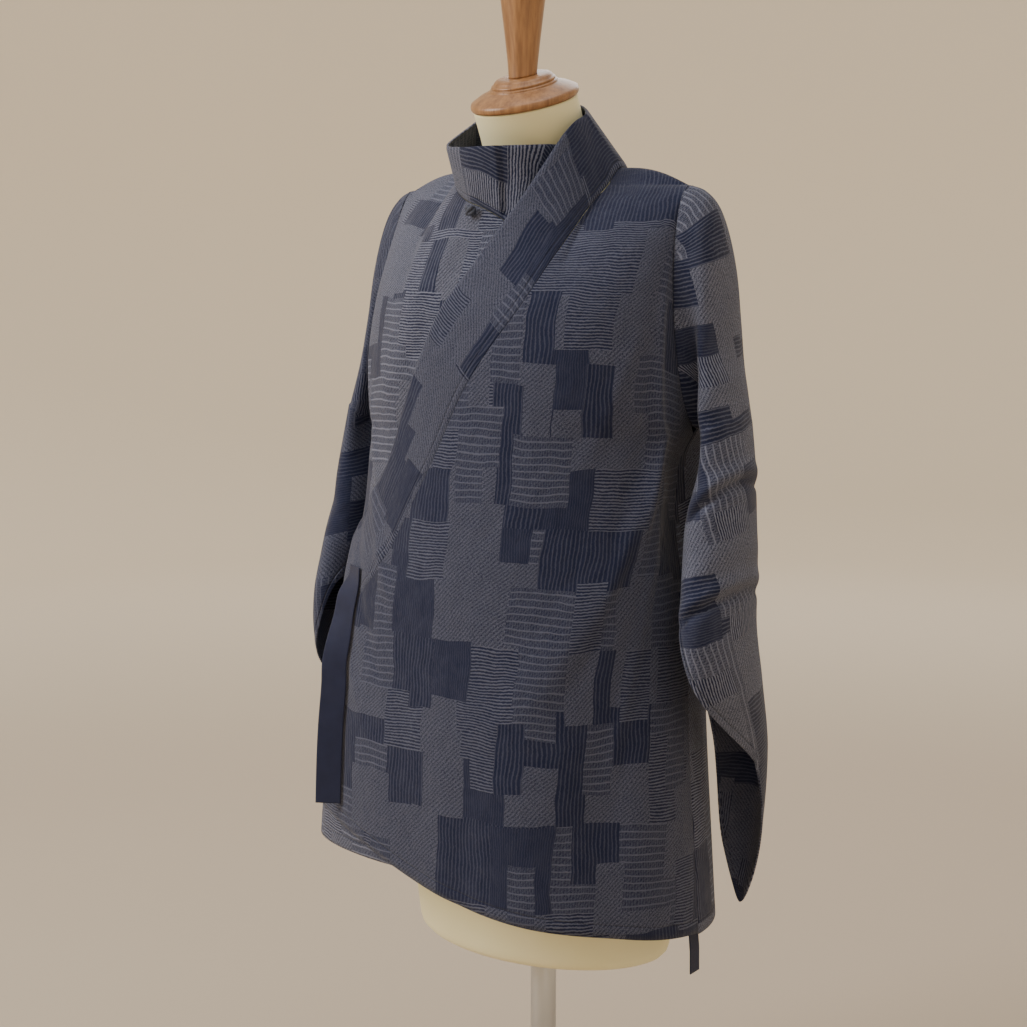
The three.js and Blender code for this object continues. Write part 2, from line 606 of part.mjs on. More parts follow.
function sleeve(side) {
  const pointAt = (u, v) => {
    const point = clearOfBody(sleevePoint(u, v), side);
    return V(side * (point.x + SEAM), point.y, point.z);
  };
  const inward = (u, v) => {
    const step = 0.004;
    const [v0, v1] = [Math.max(v - step, 0), Math.min(v + step, 1)];
    const along = pointAt((u + step) % 1, v).sub(pointAt((u - step + 1) % 1, v));
    const across = pointAt(u, v1).sub(pointAt(u, v0));
    const way = along.cross(across).multiplyScalar(side).normalize();
    way.x *= smoothstep(v, 0, 0.06);
    return way.normalize();
  };
  return wall({ pointAt, inward, columns: 20, rows: 22, ring: true });
}

// ---- Ties ----
// The outer tie is sewn over the end of the band, and turns away from the cloth as it falls
function outerTie() {
  const edge = (v) => {
    const z = lerp(TIE.end, TIE.top, v);
    return onBody(-1, degToRad(lerp(TIE.endAngle, TIE.topAngle, v * v)), z, -RIBBON - SEAM);
  };
  const across = (v) => {
    const { facing: out } = edge(v);
    const level = V(out.y, -out.x, 0).normalize();
    return level.lerp(TIE.hangs, smoothstep(1 - v, 0.05, 0.45)).normalize();
  };
  const pointAt = (u, v) => edge(v).point.addScaledVector(across(v), TIE.width * u);
  const inward = (u, v) => {
    const way = across(v);
    return V(way.y, -way.x, 0);
  };
  return wall({ pointAt, inward, columns: 2, rows: 14, thickness: RIBBON });
}

function innerTie() {
  const pointAt = (u, v) => {
    const z = lerp(INNER_TIE.end, INNER_TIE.top, v);
    const side = read(BODY, 'z', 'midX', z) + read(BODY, 'z', 'half', z) - CLOTH - 3 * SEAM;
    const hang = 12 * smoothstep(1 - v, 0, 0.9);
    return V(side - hang, INNER_TIE.y + lerp(-0.5, 0.5, u) * INNER_TIE.width, z);
  };
  return wall({ pointAt, inward: () => V(-1, 0, 0), columns: 1, rows: 12, thickness: RIBBON });
}

// ---- Dress form ----
function formRing(z) {
  const under = z + FORM_DROP;
  const fall = (NECK_POINT.z - SHOULDER_END.z) / (SHOULDER_END.x - NECK_POINT.x);
  const crest = NECK_POINT.x + Math.max(NECK_POINT.z - under, 0) / fall;
  const half = Math.min(read(FORM, 'z', 'half', z), crest);
  const pointAt = (angle) => {
    const face = Math.sin(angle) < 0 ? 1 : -1;
    const x = half * Math.cos(angle);
    const depth = read(FORM, 'z', face < 0 ? 'front' : 'back', z) * Math.abs(Math.sin(angle));
    const slack = lerp(FORM_SLACK.neck, FORM_SLACK.shoulder, smoothstep(Math.abs(x), NECK_POINT.x, NECK_POINT.x + 40));
    const roof = slack * Math.abs(body(face, angleAt(x, under), under).y);
    return V(x, face * (z > SHOULDER_START ? Math.min(depth, roof) : depth), z);
  };
  return { pointAt };
}

function neckRing(z, half, depth, y, tilt) {
  const pointAt = (angle) => {
    const forward = -depth * Math.sin(angle);
    return V(half * Math.cos(angle), y + forward, z + tilt * forward);
  };
  return { pointAt };
}

// The form's bust and neck are joined into one solid
function formBody() {
  const heights = [FORM_FLOOR, 300, 360, 430, 490, 540, 590, 640, 690, 740, 790, 835, 880, 930, 975, 1010];
  const shoulders = [1035, 1055, 1070, 1082, 1091, 1096];
  const bust = loft([...heights, ...shoulders].map(formRing), 32);
  const neck = loft([
    neckRing(1060, 76, 58, -3, 0),
    neckRing(1096, 71, 55, -4, 0),
    neckRing(1108, 65, 54, -7, 0.04),
    neckRing(1122, 58, 53, -12, 0.1),
    neckRing(1140, 54.5, 52.5, -20, 0.19),
    neckRing(CAP.z - SEAM, NECK_RADIUS, NECK_RADIUS - 1, CAP.y, NECK_TILT),
  ], 32);
  return joined(bust, neck);
}

// Wood of the neck: rings about the leaning cap, then the upright finial
function capRing(rise, radius) {
  return neckRing(CAP.z + rise, radius, radius, CAP.y - NECK_TILT * rise * 0.5, NECK_TILT);
}

function neckCap() {
  const profile = [
    { rise: 0, radius: CAP.radius - 1.5 },
    { rise: 1.5, radius: CAP.radius },
    { rise: CAP.rim - 2, radius: CAP.radius },
    { rise: CAP.rim, radius: CAP.radius - 2 },
    { rise: 12, radius: 47 },
    { rise: 16.5, radius: 34 },
    { rise: 17.5, radius: 33 },
    { rise: 20, radius: 32.5 },
    { rise: 21, radius: 31 },
    { rise: 23.5, radius: 30 },
    { rise: CAP.height, radius: 24 },
  ];
  return loft(profile.map(({ rise, radius }) => capRing(rise, radius)), 32);
}

function finial() {
  const foot = CAP.z + CAP.height + SEAM;
  const y = CAP.y - NECK_TILT * CAP.height * 0.5;
  const profile = [
    { rise: 0, radius: FINIAL.foot, tilt: NECK_TILT },
    { rise: 6, radius: FINIAL.foot + 0.4, tilt: 0.1 },
    { rise: 40, radius: 18.5, tilt: 0 },
    { rise: 80, radius: 23.4, tilt: 0 },
    { rise: 104, radius: FINIAL.widest, tilt: 0 },
    { rise: 116, radius: FINIAL.widest - 2, tilt: 0 },
    { rise: 124, radius: 16, tilt: 0 },
    { rise: FINIAL.height, radius: 6, tilt: 0 },
  ];
  return loft(profile.map(({ rise, radius, tilt }) => neckRing(foot + rise, radius, radius, y, tilt)), 28);
}

// ---- Stand ----
function standBase() {
  const profile = [
    new THREE.Vector2(0, 0),
    new THREE.Vector2(BASE.radius - 1, 0),
    new THREE.Vector2(BASE.radius, 1),
    new THREE.Vector2(BASE.radius, BASE.height - BASE.edge),
    new THREE.Vector2(BASE.radius - BASE.edge, BASE.height),
    new THREE.Vector2(0, BASE.height),
  ];
  return new THREE.LatheGeometry(profile, 40).rotateX(Math.PI / 2);
}

function standPole() {
  const length = FORM_FLOOR - BASE.height - 2 * SEAM;
  const pole = new THREE.CylinderGeometry(POLE_RADIUS, POLE_RADIUS, length, 24).rotateX(Math.PI / 2);
  return pole.translate(0, 0, BASE.height + SEAM + length / 2);
}

// ---- The object ----
function finish(color, roughness, metalness = 0) {
  return new THREE.MeshStandardMaterial({ color, roughness, metalness, side: THREE.DoubleSide });
}

const patchwork = finish(0x4a5272, 0.9);
const navyRibbon = finish(0x1c2444, 0.75);
const creamCloth = finish(0xd8cda6, 0.85);
const paleWood = finish(0xa5744a, 0.5);
const steel = finish(0xb4b6ba, 0.3, 0.9);

const part = new THREE.Group();

function add(name, geometry, material) {
  const mesh = new THREE.Mesh(geometry, material);
  mesh.name = name;
  part.add(mesh);
}

add('outer_front', outerFront(), patchwork);
add('under_front', underFront(), patchwork);
add('back', backPanel(), patchwork);
add('sleeve_left', sleeve(1), patchwork);
add('sleeve_right', sleeve(-1), patchwork);
add('collar_outer', outerCollar(), patchwork);
add('collar_inner', innerCollar(), patchwork);
add('collar_knot', collarKnot(), navyRibbon);
add('tie_outer', outerTie(), navyRibbon);
add('tie_inner', innerTie(), navyRibbon);
add('form_body', formBody(), creamCloth);
add('neck_cap', neckCap(), paleWood);
add('neck_finial', finial(), paleWood);
add('stand_pole', standPole(), steel);
add('stand_base', standBase(), paleWood);

export default part;
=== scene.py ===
"""A patchwork wrap top on a dress form: the cloth, the form, the stand, the studio and the camera.

Lengths in the tables are millimetres. The wearer faces -Y, and the wearer's left is +X.
"""
import math

import bpy
import numpy as np
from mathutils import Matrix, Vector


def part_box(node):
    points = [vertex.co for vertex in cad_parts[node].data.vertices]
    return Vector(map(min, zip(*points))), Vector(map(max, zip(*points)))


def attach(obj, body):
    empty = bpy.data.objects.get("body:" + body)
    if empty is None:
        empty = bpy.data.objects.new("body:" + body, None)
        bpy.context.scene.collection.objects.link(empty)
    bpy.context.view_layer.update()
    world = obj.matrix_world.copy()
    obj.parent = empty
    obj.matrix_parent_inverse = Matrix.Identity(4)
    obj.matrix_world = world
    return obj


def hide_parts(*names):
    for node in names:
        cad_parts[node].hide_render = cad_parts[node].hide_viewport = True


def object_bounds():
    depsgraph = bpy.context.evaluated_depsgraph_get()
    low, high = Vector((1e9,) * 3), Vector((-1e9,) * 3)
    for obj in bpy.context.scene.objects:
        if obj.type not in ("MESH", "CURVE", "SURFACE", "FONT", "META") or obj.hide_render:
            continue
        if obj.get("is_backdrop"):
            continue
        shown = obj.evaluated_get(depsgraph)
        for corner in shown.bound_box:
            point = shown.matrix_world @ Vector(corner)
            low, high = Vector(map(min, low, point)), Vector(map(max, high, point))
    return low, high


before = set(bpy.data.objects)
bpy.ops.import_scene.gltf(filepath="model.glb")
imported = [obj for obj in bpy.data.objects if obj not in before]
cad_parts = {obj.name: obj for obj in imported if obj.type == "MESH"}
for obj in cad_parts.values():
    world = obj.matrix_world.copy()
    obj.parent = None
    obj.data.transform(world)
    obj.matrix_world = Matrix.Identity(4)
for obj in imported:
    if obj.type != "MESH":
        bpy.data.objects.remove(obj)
cad_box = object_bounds()

MM = 0.001
CLOTH = 1.7          # thickness of the woven cloth
BAND = 2.1           # of the collar band
TAPE = 1.1           # and of the tie tapes
SEAM = 0.3
LAYER = 5.5          # how far the under front lies inside the outer one
STITCH_FROM_HEM = 13.0
STITCH_FROM_SEAM = 7.0   # on the collar


# ---- Tables and curves ----
def table(columns, *rows):
    """Named columns, with the rows in order of the first."""
    names = columns.split()
    ordered = sorted(rows)
    return {name: np.array([row[i] for row in ordered], float) for i, name in enumerate(names)}


def read(rows, column, at, key=None):
    """A column at any value of its key, along a smooth curve through the rows."""
    key = key or next(iter(rows))
    order = np.argsort(rows[key])
    keys, values = rows[key][order], rows[column][order]
    at = np.clip(at, keys[0], keys[-1])
    right = np.clip(np.searchsorted(keys, at), 1, len(keys) - 1)
    left = right - 1
    span = keys[right] - keys[left]
    t = (at - keys[left]) / span
    index = np.arange(len(keys))
    before, after = np.maximum(index - 1, 0), np.minimum(index + 1, len(keys) - 1)
    slope = (values[after] - values[before]) / (keys[after] - keys[before])
    start = slope[left] * span * (t**3 - 2 * t**2 + t)
    end = slope[right] * span * (t**3 - t**2)
    return values[left] * (2 * t**3 - 3 * t**2 + 1) + start + values[right] * (3 * t**2 - 2 * t**3) + end


def smooth(value, low, high):
    t = np.clip((value - low) / (high - low), 0, 1)
    return t * t * (3 - 2 * t)


def lerp(a, b, t):
    return a + (b - a) * t


def stack(x, y, z):
    return np.stack(np.broadcast_arrays(x, y, z), axis=-1).astype(float)


def unit(vectors):
    return vectors / np.maximum(np.linalg.norm(vectors, axis=-1, keepdims=True), 1e-9)


NECK_X, NECK_Z = 94, 1110
SHOULDER_X, SHOULDER_Z = 172, 1091
ARMPIT_Z = 850
ARMHOLE_DEPTH = 40
NECK_FRONT, NECK_BACK = 72, 68
SHOULDER_CROWN = 6
SHOULDER_ROUND = 150
CORNER_Z = 650

BODY = table(
    "z half front back mid side",
    (320, 236, -205, 112, -15, -45),
    (425, 228, -200, 112, -15, -45),
    (530, 218, -196, 112, -14, -42),
    (600, 210, -191, 113, -12, -36),
    (690, 200, -184, 114, -8, -28),
    (760, 190, -176, 115, -3, -16),
    (850, 184, -165, 115, 0, 0),
    (930, 180, -155, 112, 0, 8),
    (1000, 176.4, -140, 105, 0, 10),
    (1091, 172, -118, 92, 0, 0),
    (1110, 170.8, -108, 84, 0, 0),
)
OUTER_HEM = table("angle z", (0, 346), (50, 364), (75, 378), (90, 392), (115, 424), (140, 438), (180, 438))
UNDER_HEM = table("angle z", (0, 385), (90, 402), (120, 402), (180, 388))
BACK_HEM = table("angle z", (0, 344), (90, 352), (180, 384))
OUTER_BAND = table(
    "at sewn_x sewn_z x y z",
    (0, 94, 1110, 66, -24, 1163),
    (0.24, 93, 1066, 64, -64, 1140),
    (0.32, 87, 1030, 46, -104, 1084),
    (0.4, 66, 976, 10, -128, 1026),
    (0.48, 32, 924, -27, -143, 972),
    (0.54, 8, 884, -48, -151, 926),
    (0.61, -16, 830, -72, -153, 866),
    (0.69, -46, 775, -94, -148, 812),
    (0.78, -80, 718, -128, -134, 770),
    (0.89, -124, 674, -158, -110, 738),
    (1, -176, 650, -178, -80, 712),
)
BAND_LIES_FROM = 930
INNER_BAND = table(
    "sewn_x sewn_z x y z",
    (-94, 1110, -76, -20, 1160),
    (-72, 1093, -72, -74, 1135),
    (-40, 1078, -38, -104, 1129),
    (0, 1066, 2, -111, 1129),
    (30, 1052, 34, -96, 1130),
    (52, 1030, 54, -58, 1131),
    (78, 992, 60, -50, 1120),
    (96, 940, 70, -50, 1100),
)
INNER_END_X = 51
COLLAR_BACK = ((0, 26, 1176), (34, 16, 1175))
BAND_WAVE = 0.7      # how far the band bows out and in along its length

# Folds of the body: face, the angle and the height where each begins and ends, width, and height.
# A trough's height is negative.
BODY_FOLDS = (
    (-1, 18, 800, 52, 620, 34, 5),
    (-1, 14, 720, 34, 500, 34, -4),
    (-1, 62, 560, 60, 340, 40, 5),
    (-1, 36, 560, 34, 330, 36, -5),
    (-1, 98, 640, 92, 360, 38, -4),
    (1, 34, 940, 64, 700, 36, 5),
    (1, 146, 940, 116, 700, 36, 5),
    (1, 45, 640, 42, 340, 38, 7),
    (1, 72, 700, 74, 340, 34, -6),
    (1, 100, 760, 100, 340, 36, 7),
    (1, 135, 660, 138, 360, 36, -6),
    # narrower creases
    (-1, 9, 985, 20, 790, 9, 9),
    (-1, 17, 830, 34, 700, 9, 3),
    (-1, 12, 806, 40, 640, 11, -3),
    (-1, 12, 770, 30, 560, 9, 2.6),
    (-1, 18, 900, 30, 780, 11, -3),
    (-1, 24, 940, 40, 850, 13, 2.4),
    (-1, 132, 800, 112, 700, 11, 2.4),
    (-1, 140, 760, 118, 640, 11, -2.4),
    (-1, 144, 720, 122, 590, 10, 2.2),
    (-1, 76, 520, 78, 380, 15, -2),
    (-1, 150, 930, 136, 830, 12, 3),
    (-1, 156, 900, 138, 790, 10, -3),
    (1, 14, 840, 44, 740, 11, 3),
    (1, 14, 800, 50, 660, 12, -3),
    (1, 166, 840, 134, 740, 11, 3),
    (1, 166, 800, 130, 660, 12, -3),
)

# How far the sides are drawn in under the arms, and the heights where that begins and ends
DRAWN_IN, DRAWN_FROM, DRAWN_TO = 19, 860, 650

SLEEVE_CAP = table(
    "row inner_x inner_z outer_x outer_z mid depth",
    (0, 184, 850, 172, 1091, 0, 40),
    (1, 186, 849, 187, 1085, 3, 41),
    (2, 188, 848, 200, 1069, 4, 42),
    (3, 190, 847, 210, 1032, 4, 44),
    (4, 191, 845, 216, 982, 2, 46),
    (5, 192, 842, 224, 922, -2, 48),
    (6, 193, 838, 237, 864, -7, 49),
)
SLEEVE = table(
    "z inner outer mid depth",
    (860, 193, 238, -8, 49),
    (820, 194, 245, -12, 50),
    (760, 195, 252, -20, 53),
    (700, 200, 257, -30, 58),
    (654, 205, 259, -37, 62),
    (600, 208, 264, -32, 62),
    (524, 206, 262, -12, 60),
    (425, 190, 250, 2, 58),
    (340, 180, 232, 6, 56),
)
MOUTH = table(
    "angle z",
    (0, 522), (45, 566), (90, 612), (135, 672), (180, 610), (200, 500),
    (225, 410), (270, 346), (300, 374), (330, 448), (360, 522),
)
SLEEVE_TOP_Z = 820
SLEEVE_CLEAR = 6
SLEEVE_GRAIN = 12    # degrees between the weave and the sleeve's length
CAP_SHARE = 0.36
# The hollow down the front of the sleeve, beside the body
HOLLOW_DEPTH, HOLLOW_ANGLE, HOLLOW_SPREAD = 18, 130, 42
HOLLOW_FROM, HOLLOW_TO = 1050, 750
# Creases round the sleeve: which sleeve, where each lies at the outside and beside the body, width, height,
# and the angle where it is deepest
SLEEVE_FOLDS = (
    (1, 803, 752, 5, -6, 50),
    (1, 816, 765, 8, 4, 50),
    (1, 697, 659, 5, -6, 50),
    (1, 710, 672, 8, 4, 50),
    (1, 740, 690, 16, 2, 60),
    (1, 940, 860, 16, -2.4, 100),
    (1, 900, 838, 12, 2, 90),
    (-1, 770, 700, 20, -2.5, 90),
)


# ---- The surface of the body ----
def ridge_z(x):
    share = np.clip((np.abs(x) - NECK_X) / (SHOULDER_X - NECK_X), 0, 1)
    return lerp(NECK_Z, SHOULDER_Z, share) + SHOULDER_CROWN * np.sin(math.pi * share)


def chest_y(face, x, z):
    full = read(BODY, "front" if face < 0 else "back", z)
    drop = np.clip((ridge_z(x) - z) / SHOULDER_ROUND, 0, 1)
    reach = -NECK_FRONT if face < 0 else NECK_BACK
    start = reach * np.sqrt(np.maximum(1 - (x / NECK_X) ** 2, 0))
    return start + (full - start) * np.sin(math.pi / 2 * drop**0.85)


def armhole_depth(z):
    t = np.clip((z - ARMPIT_Z) / (SHOULDER_Z - ARMPIT_Z), 0, 1)
    return ARMHOLE_DEPTH * 2 * np.sqrt(t * (1 - t))


def fold_height(face, angle, z):
    height = np.zeros(np.broadcast(angle, z).shape)
    for side, a0, z0, a1, z1, width, peak in BODY_FOLDS:
        if side != face:
            continue
        t = np.clip((z0 - z) / (z0 - z1), -0.5, 1.5)
        away = (angle - np.radians(lerp(a0, a1, t))) * 200
        ends = 1.0 if z1 < 450 else 1 - smooth(t, 1.0, 1.5)
        height += peak * np.exp(-((away / width) ** 2)) * smooth(t, -0.45, 0.3) * ends
    return height * smooth(np.sin(angle), 0.05, 0.35)


def drawn_in(angle, z):
    along = smooth(DRAWN_FROM - z, 0, 50) * smooth(z - DRAWN_TO, 0, 130)
    return DRAWN_IN * along * (1 - smooth(np.sin(angle), 0.02, 0.36)) * np.sign(np.cos(angle))


def body(face, angle, z):
    """A point of the front (-1) or the back (1), from the wearer's left (angle 0) to the right (pi)."""
    x = read(BODY, "mid", z) + read(BODY, "half", z) * np.cos(angle)
    side = read(BODY, "side", z) + face * armhole_depth(z)
    sine = np.maximum(np.sin(angle), 0)
    y = side + (chest_y(face, x, z) - side) * sine**0.9
    out = fold_height(face, angle, z)
    x = x - drawn_in(angle, z)
    return stack(x + out * np.cos(angle) * 0.8, y + face * (out * sine + SEAM / 2), z)


def body_out(face, angle, z):
    """The way the body's surface faces; at a seam, panels that meet face the same way."""
    step = 0.01
    along = body(face, np.minimum(angle + step, math.pi), z) - body(face, np.maximum(angle - step, 0), z)
    up = body(face, angle, z + 1) - body(face, angle, z - 1)
    way = unit(np.cross(along, up) * face)
    x = body(face, angle, z)[..., 0]
    at_ridge = np.where(np.abs(x) > NECK_X - 4, 1 - smooth(ridge_z(x) - z, 0, 24), 0)
    at_side = 1 - smooth(np.sin(angle), 0, 0.12)
    at_armhole = at_side * smooth(z, ARMPIT_Z, ARMPIT_Z + 30)
    way[..., 0] *= 1 - at_armhole
    way[..., 1] *= 1 - np.maximum(at_ridge, at_side - at_armhole)
    return unit(way)


def angle_at(x, z):
    return np.arccos(np.clip((x - read(BODY, "mid", z)) / read(BODY, "half", z), -1, 1))


def cut_coordinates(face):
    """The flat cloth's own coordinates over the body: across from the middle, and up from below the hem."""
    angles = np.linspace(0, math.pi, 121)
    heights = np.linspace(320, NECK_Z, 120)
    points = body(face, angles[:, None], heights[None, :])
    across = np.linalg.norm(np.diff(points, axis=0), axis=-1)
    across = np.vstack([np.zeros(len(heights)), np.cumsum(across, axis=0)])
    across = face * (across - across[len(angles) // 2])
    up = np.linalg.norm(np.diff(points, axis=1), axis=-1)
    up = np.hstack([np.zeros((len(angles), 1)), np.cumsum(up, axis=1)])

    def at(angle, z):
        i = np.clip(angle / math.pi * (len(angles) - 1), 0, len(angles) - 1.001)
        share = (z - heights[0]) / (heights[-1] - heights[0])
        j = np.clip(share * (len(heights) - 1), 0, len(heights) - 1.001)
        i0, j0 = i.astype(int), j.astype(int)
        fi, fj = i - i0, j - j0

        def sample(grid):
            low = lerp(grid[i0, j0], grid[i0 + 1, j0], fi)
            high = lerp(grid[i0, j0 + 1], grid[i0 + 1, j0 + 1], fi)
            return lerp(low, high, fj)

        return np.stack([sample(across), sample(up)], axis=-1)

    return at


CUT = {face: cut_coordinates(face) for face in (-1, 1)}


# ---- Meshes ----
def crowded(count, amount=0.8):
    """Steps from 0 to 1 that lie closer together at both ends, where the seams are."""
    t = np.linspace(0, 1, count + 1)
    return t - amount * np.sin(2 * math.pi * t) / (2 * math.pi)


def distance_along(points, axis, from_end):
    steps = np.linalg.norm(np.diff(points, axis=axis), axis=-1)
    start = np.zeros_like(np.take(steps, [0], axis=axis))
    walked = np.concatenate([start, np.cumsum(steps, axis=axis)], axis=axis)
    return np.take(walked, [-1], axis=axis) - walked if from_end else walked


def edge_distance(points, edges):
    """How far each point lies from the nearest of the named edges: left, right, low, high."""
    ways = {"left": (0, False), "right": (0, True), "low": (1, False), "high": (1, True)}
    far = np.full(points.shape[:2], 1000.0)
    for name in edges:
        far = np.minimum(far, distance_along(points, *ways[name]))
    return far


def surface_area(points):
    a, b = points[1:, :-1] - points[:-1, :-1], points[:-1, 1:] - points[:-1, :-1]
    return float(np.linalg.norm(np.cross(a, b), axis=-1).sum()) * MM * MM


def grid_object(name, points, cut, seam, hem, ring=False):
    """A cloth surface from a grid of points, with its flat coordinates and its distance to seams and hems."""
    columns, rows = points.shape[:2]
    index = np.arange(columns * rows).reshape(columns, rows)
    last = columns if ring else columns - 1
    following = (np.arange(last) + 1) % columns
    corners = [index[:last, :-1], index[following, :-1], index[following, 1:], index[:last, 1:]]
    faces = np.stack(corners, axis=-1).reshape(-1, 4)
    mesh = bpy.data.meshes.new(name)
    mesh.from_pydata((points.reshape(-1, 3) * MM).tolist(), [], faces.tolist())
    uv = mesh.uv_layers.new(name="Cut")
    loops = np.empty(len(mesh.loops), int)
    mesh.loops.foreach_get("vertex_index", loops)
    flat = cut.reshape(-1, 2)[loops] * MM
    if ring:
        corner = np.tile([0, 1, 1, 0], len(faces))
        wraps = np.repeat(np.repeat(np.arange(last) == columns - 1, rows - 1), 4) & (corner == 1)
        jump = np.repeat(jump_at_wrap(points, cut), 4, axis=0)
        flat[wraps] += jump[wraps] * MM
    uv.data.foreach_set("uv", flat.ravel())
    for label, values in (("seam", seam), ("hem", hem)):
        attribute = mesh.attributes.new(label, "FLOAT", "POINT")
        attribute.data.foreach_set("value", np.ascontiguousarray(values, float).ravel())
    mesh.polygons.foreach_set("use_smooth", np.ones(len(mesh.polygons), bool))
    mesh.update()
    piece = bpy.data.objects.new(name, mesh)
    bpy.context.collection.objects.link(piece)
    return piece


def jump_at_wrap(points, cut):
    """On a ring, how far the flat coordinates of the last column's faces step past the first column's."""
    step = cut[-1] - cut[-2] + cut[-1] - cut[0]
    per_face = np.zeros((points.shape[0], points.shape[1] - 1, 2))
    per_face[-1] = step[:-1]
    return per_face.reshape(-1, 2)


def thicken(piece, thickness, outward):
    """The wall goes in from the modelled surface; outward says which way the mesh's normals point."""
    solid = piece.modifiers.new("Thickness", "SOLIDIFY")
    solid.thickness = thickness * MM
    solid.offset = -1 if outward else 1
    solid.use_rim = True
    solid.material_offset = 1


def faces_outward(points, out):
    a, b = points[1:, :-1] - points[:-1, :-1], points[:-1, 1:] - points[:-1, :-1]
    return float((np.cross(a, b) * out[:-1, :-1]).sum()) > 0


def sewn_in(points, out, seam, depth=0.7, width=2.6):
    """The cloth rolls in where it is sewn."""
    return points - out * (depth * np.exp(-((seam / width) ** 2)))[..., None]


def declare(piece, node, points):
    area = surface_area(points)
    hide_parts(node)
    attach(piece, "root")


# ---- Panels of the body ----
def panel(node, face, angle, z, inset, seams, hems, material):
    out = body_out(face, angle, z)
    points = body(face, angle, z) - out * inset[..., None]
    seam, hem = edge_distance(points, seams), edge_distance(points, hems)
    cut = CUT[face](angle, z)
    shaped = sewn_in(points, out, seam)
    piece = grid_object(node + "_cloth", shaped, cut, seam, hem)
    thicken(piece, CLOTH, faces_outward(shaped, out))
    for each in material:
        piece.data.materials.append(each)
    declare(piece, node, shaped)
    return piece


def hem_z(hem, angle):
    return read(hem, "z", np.degrees(angle))


def outer_front(material):
    level, band = 44, 120
    rows = np.concatenate([np.linspace(0, 1, level, endpoint=False), 1 + crowded(band, 0.6)])
    share = np.maximum(rows - 1, 0)[None, :]
    u = crowded(130)[:, None]
    seam_x, seam_z = (read(OUTER_BAND, column, 1 - share) for column in ("sewn_x", "sewn_z"))
    angle = u * angle_at(seam_x, seam_z)
    low = lerp(hem_z(OUTER_HEM, angle), CORNER_Z, np.minimum(rows, 1)[None, :])
    risen = (seam_z - CORNER_Z) / (NECK_Z - CORNER_Z)
    top_x = SHOULDER_X * np.cos(u * angle_at(NECK_X, NECK_Z))
    rise = np.clip((ridge_z(top_x) - SHOULDER_Z) / (NECK_Z - SHOULDER_Z), 0, 1)
    high = lerp(lerp(CORNER_Z, SHOULDER_Z, risen), seam_z, rise)
    z = np.where(rows[None, :] < 1, low, high)
    angle, z = np.broadcast_arrays(angle, z)
    return panel("outer_front", -1, angle, z, np.zeros(z.shape), ("high",), ("low",), material)


def under_top(x):
    right = ridge_z(x)
    neck = read(INNER_BAND, "sewn_z", x)
    return np.where(x <= -NECK_X, right, neck)


def under_inset(angle, z):
    x = body(-1, angle, z)[..., 0]
    edge = read(OUTER_BAND, "z", x, key="x")
    above = smooth(z, edge + 8, edge + 90)
    at_side = smooth(np.degrees(angle), 165, 177)
    return LAYER * (1 - np.maximum(above, at_side))


def under_front(material):
    angle = lerp(math.pi, angle_at(96, 940), crowded(110, 0.5))[:, None]
    v = 1 - (1 - crowded(130, 0.5)) ** 1.4
    z = lerp(hem_z(UNDER_HEM, angle), under_top(SHOULDER_X * np.cos(angle)), v[None, :])
    angle, z = np.broadcast_arrays(angle, z)
    inset = under_inset(angle, z)
    return panel("under_front", -1, angle, z, inset, ("left", "high"), ("low",), material)


def back(material):
    angle = (crowded(150) * math.pi)[:, None]
    v = 1 - (1 - crowded(150, 0.5)) ** 1.4
    z = lerp(hem_z(BACK_HEM, angle), ridge_z(SHOULDER_X * np.cos(angle)), v[None, :])
    angle, z = np.broadcast_arrays(angle, z)
    seams = ("left", "right", "high")
    return panel("back", 1, angle, z, np.zeros(z.shape), seams, ("low",), material)


# ---- The collar ----
def back_curve(side, first, second, t):
    """The collar's free edge behind the neck, running on into its free edge in front."""
    knots = np.array([(side * x, y, z) for x, y, z in COLLAR_BACK] + [first, second], float)
    lengths = np.concatenate([[0], np.cumsum(np.sqrt(np.linalg.norm(np.diff(knots, axis=0), axis=1)))])
    mirrored = knots[1] * (-1, 1, 1)
    knots = np.vstack([mirrored, knots])
    lengths = np.concatenate([[-lengths[1]], lengths])
    rows = {"at": lengths, "x": knots[:, 0], "y": knots[:, 1], "z": knots[:, 2]}
    at = t * lengths[3]
    return stack(read(rows, "x", at), read(rows, "y", at), read(rows, "z", at))


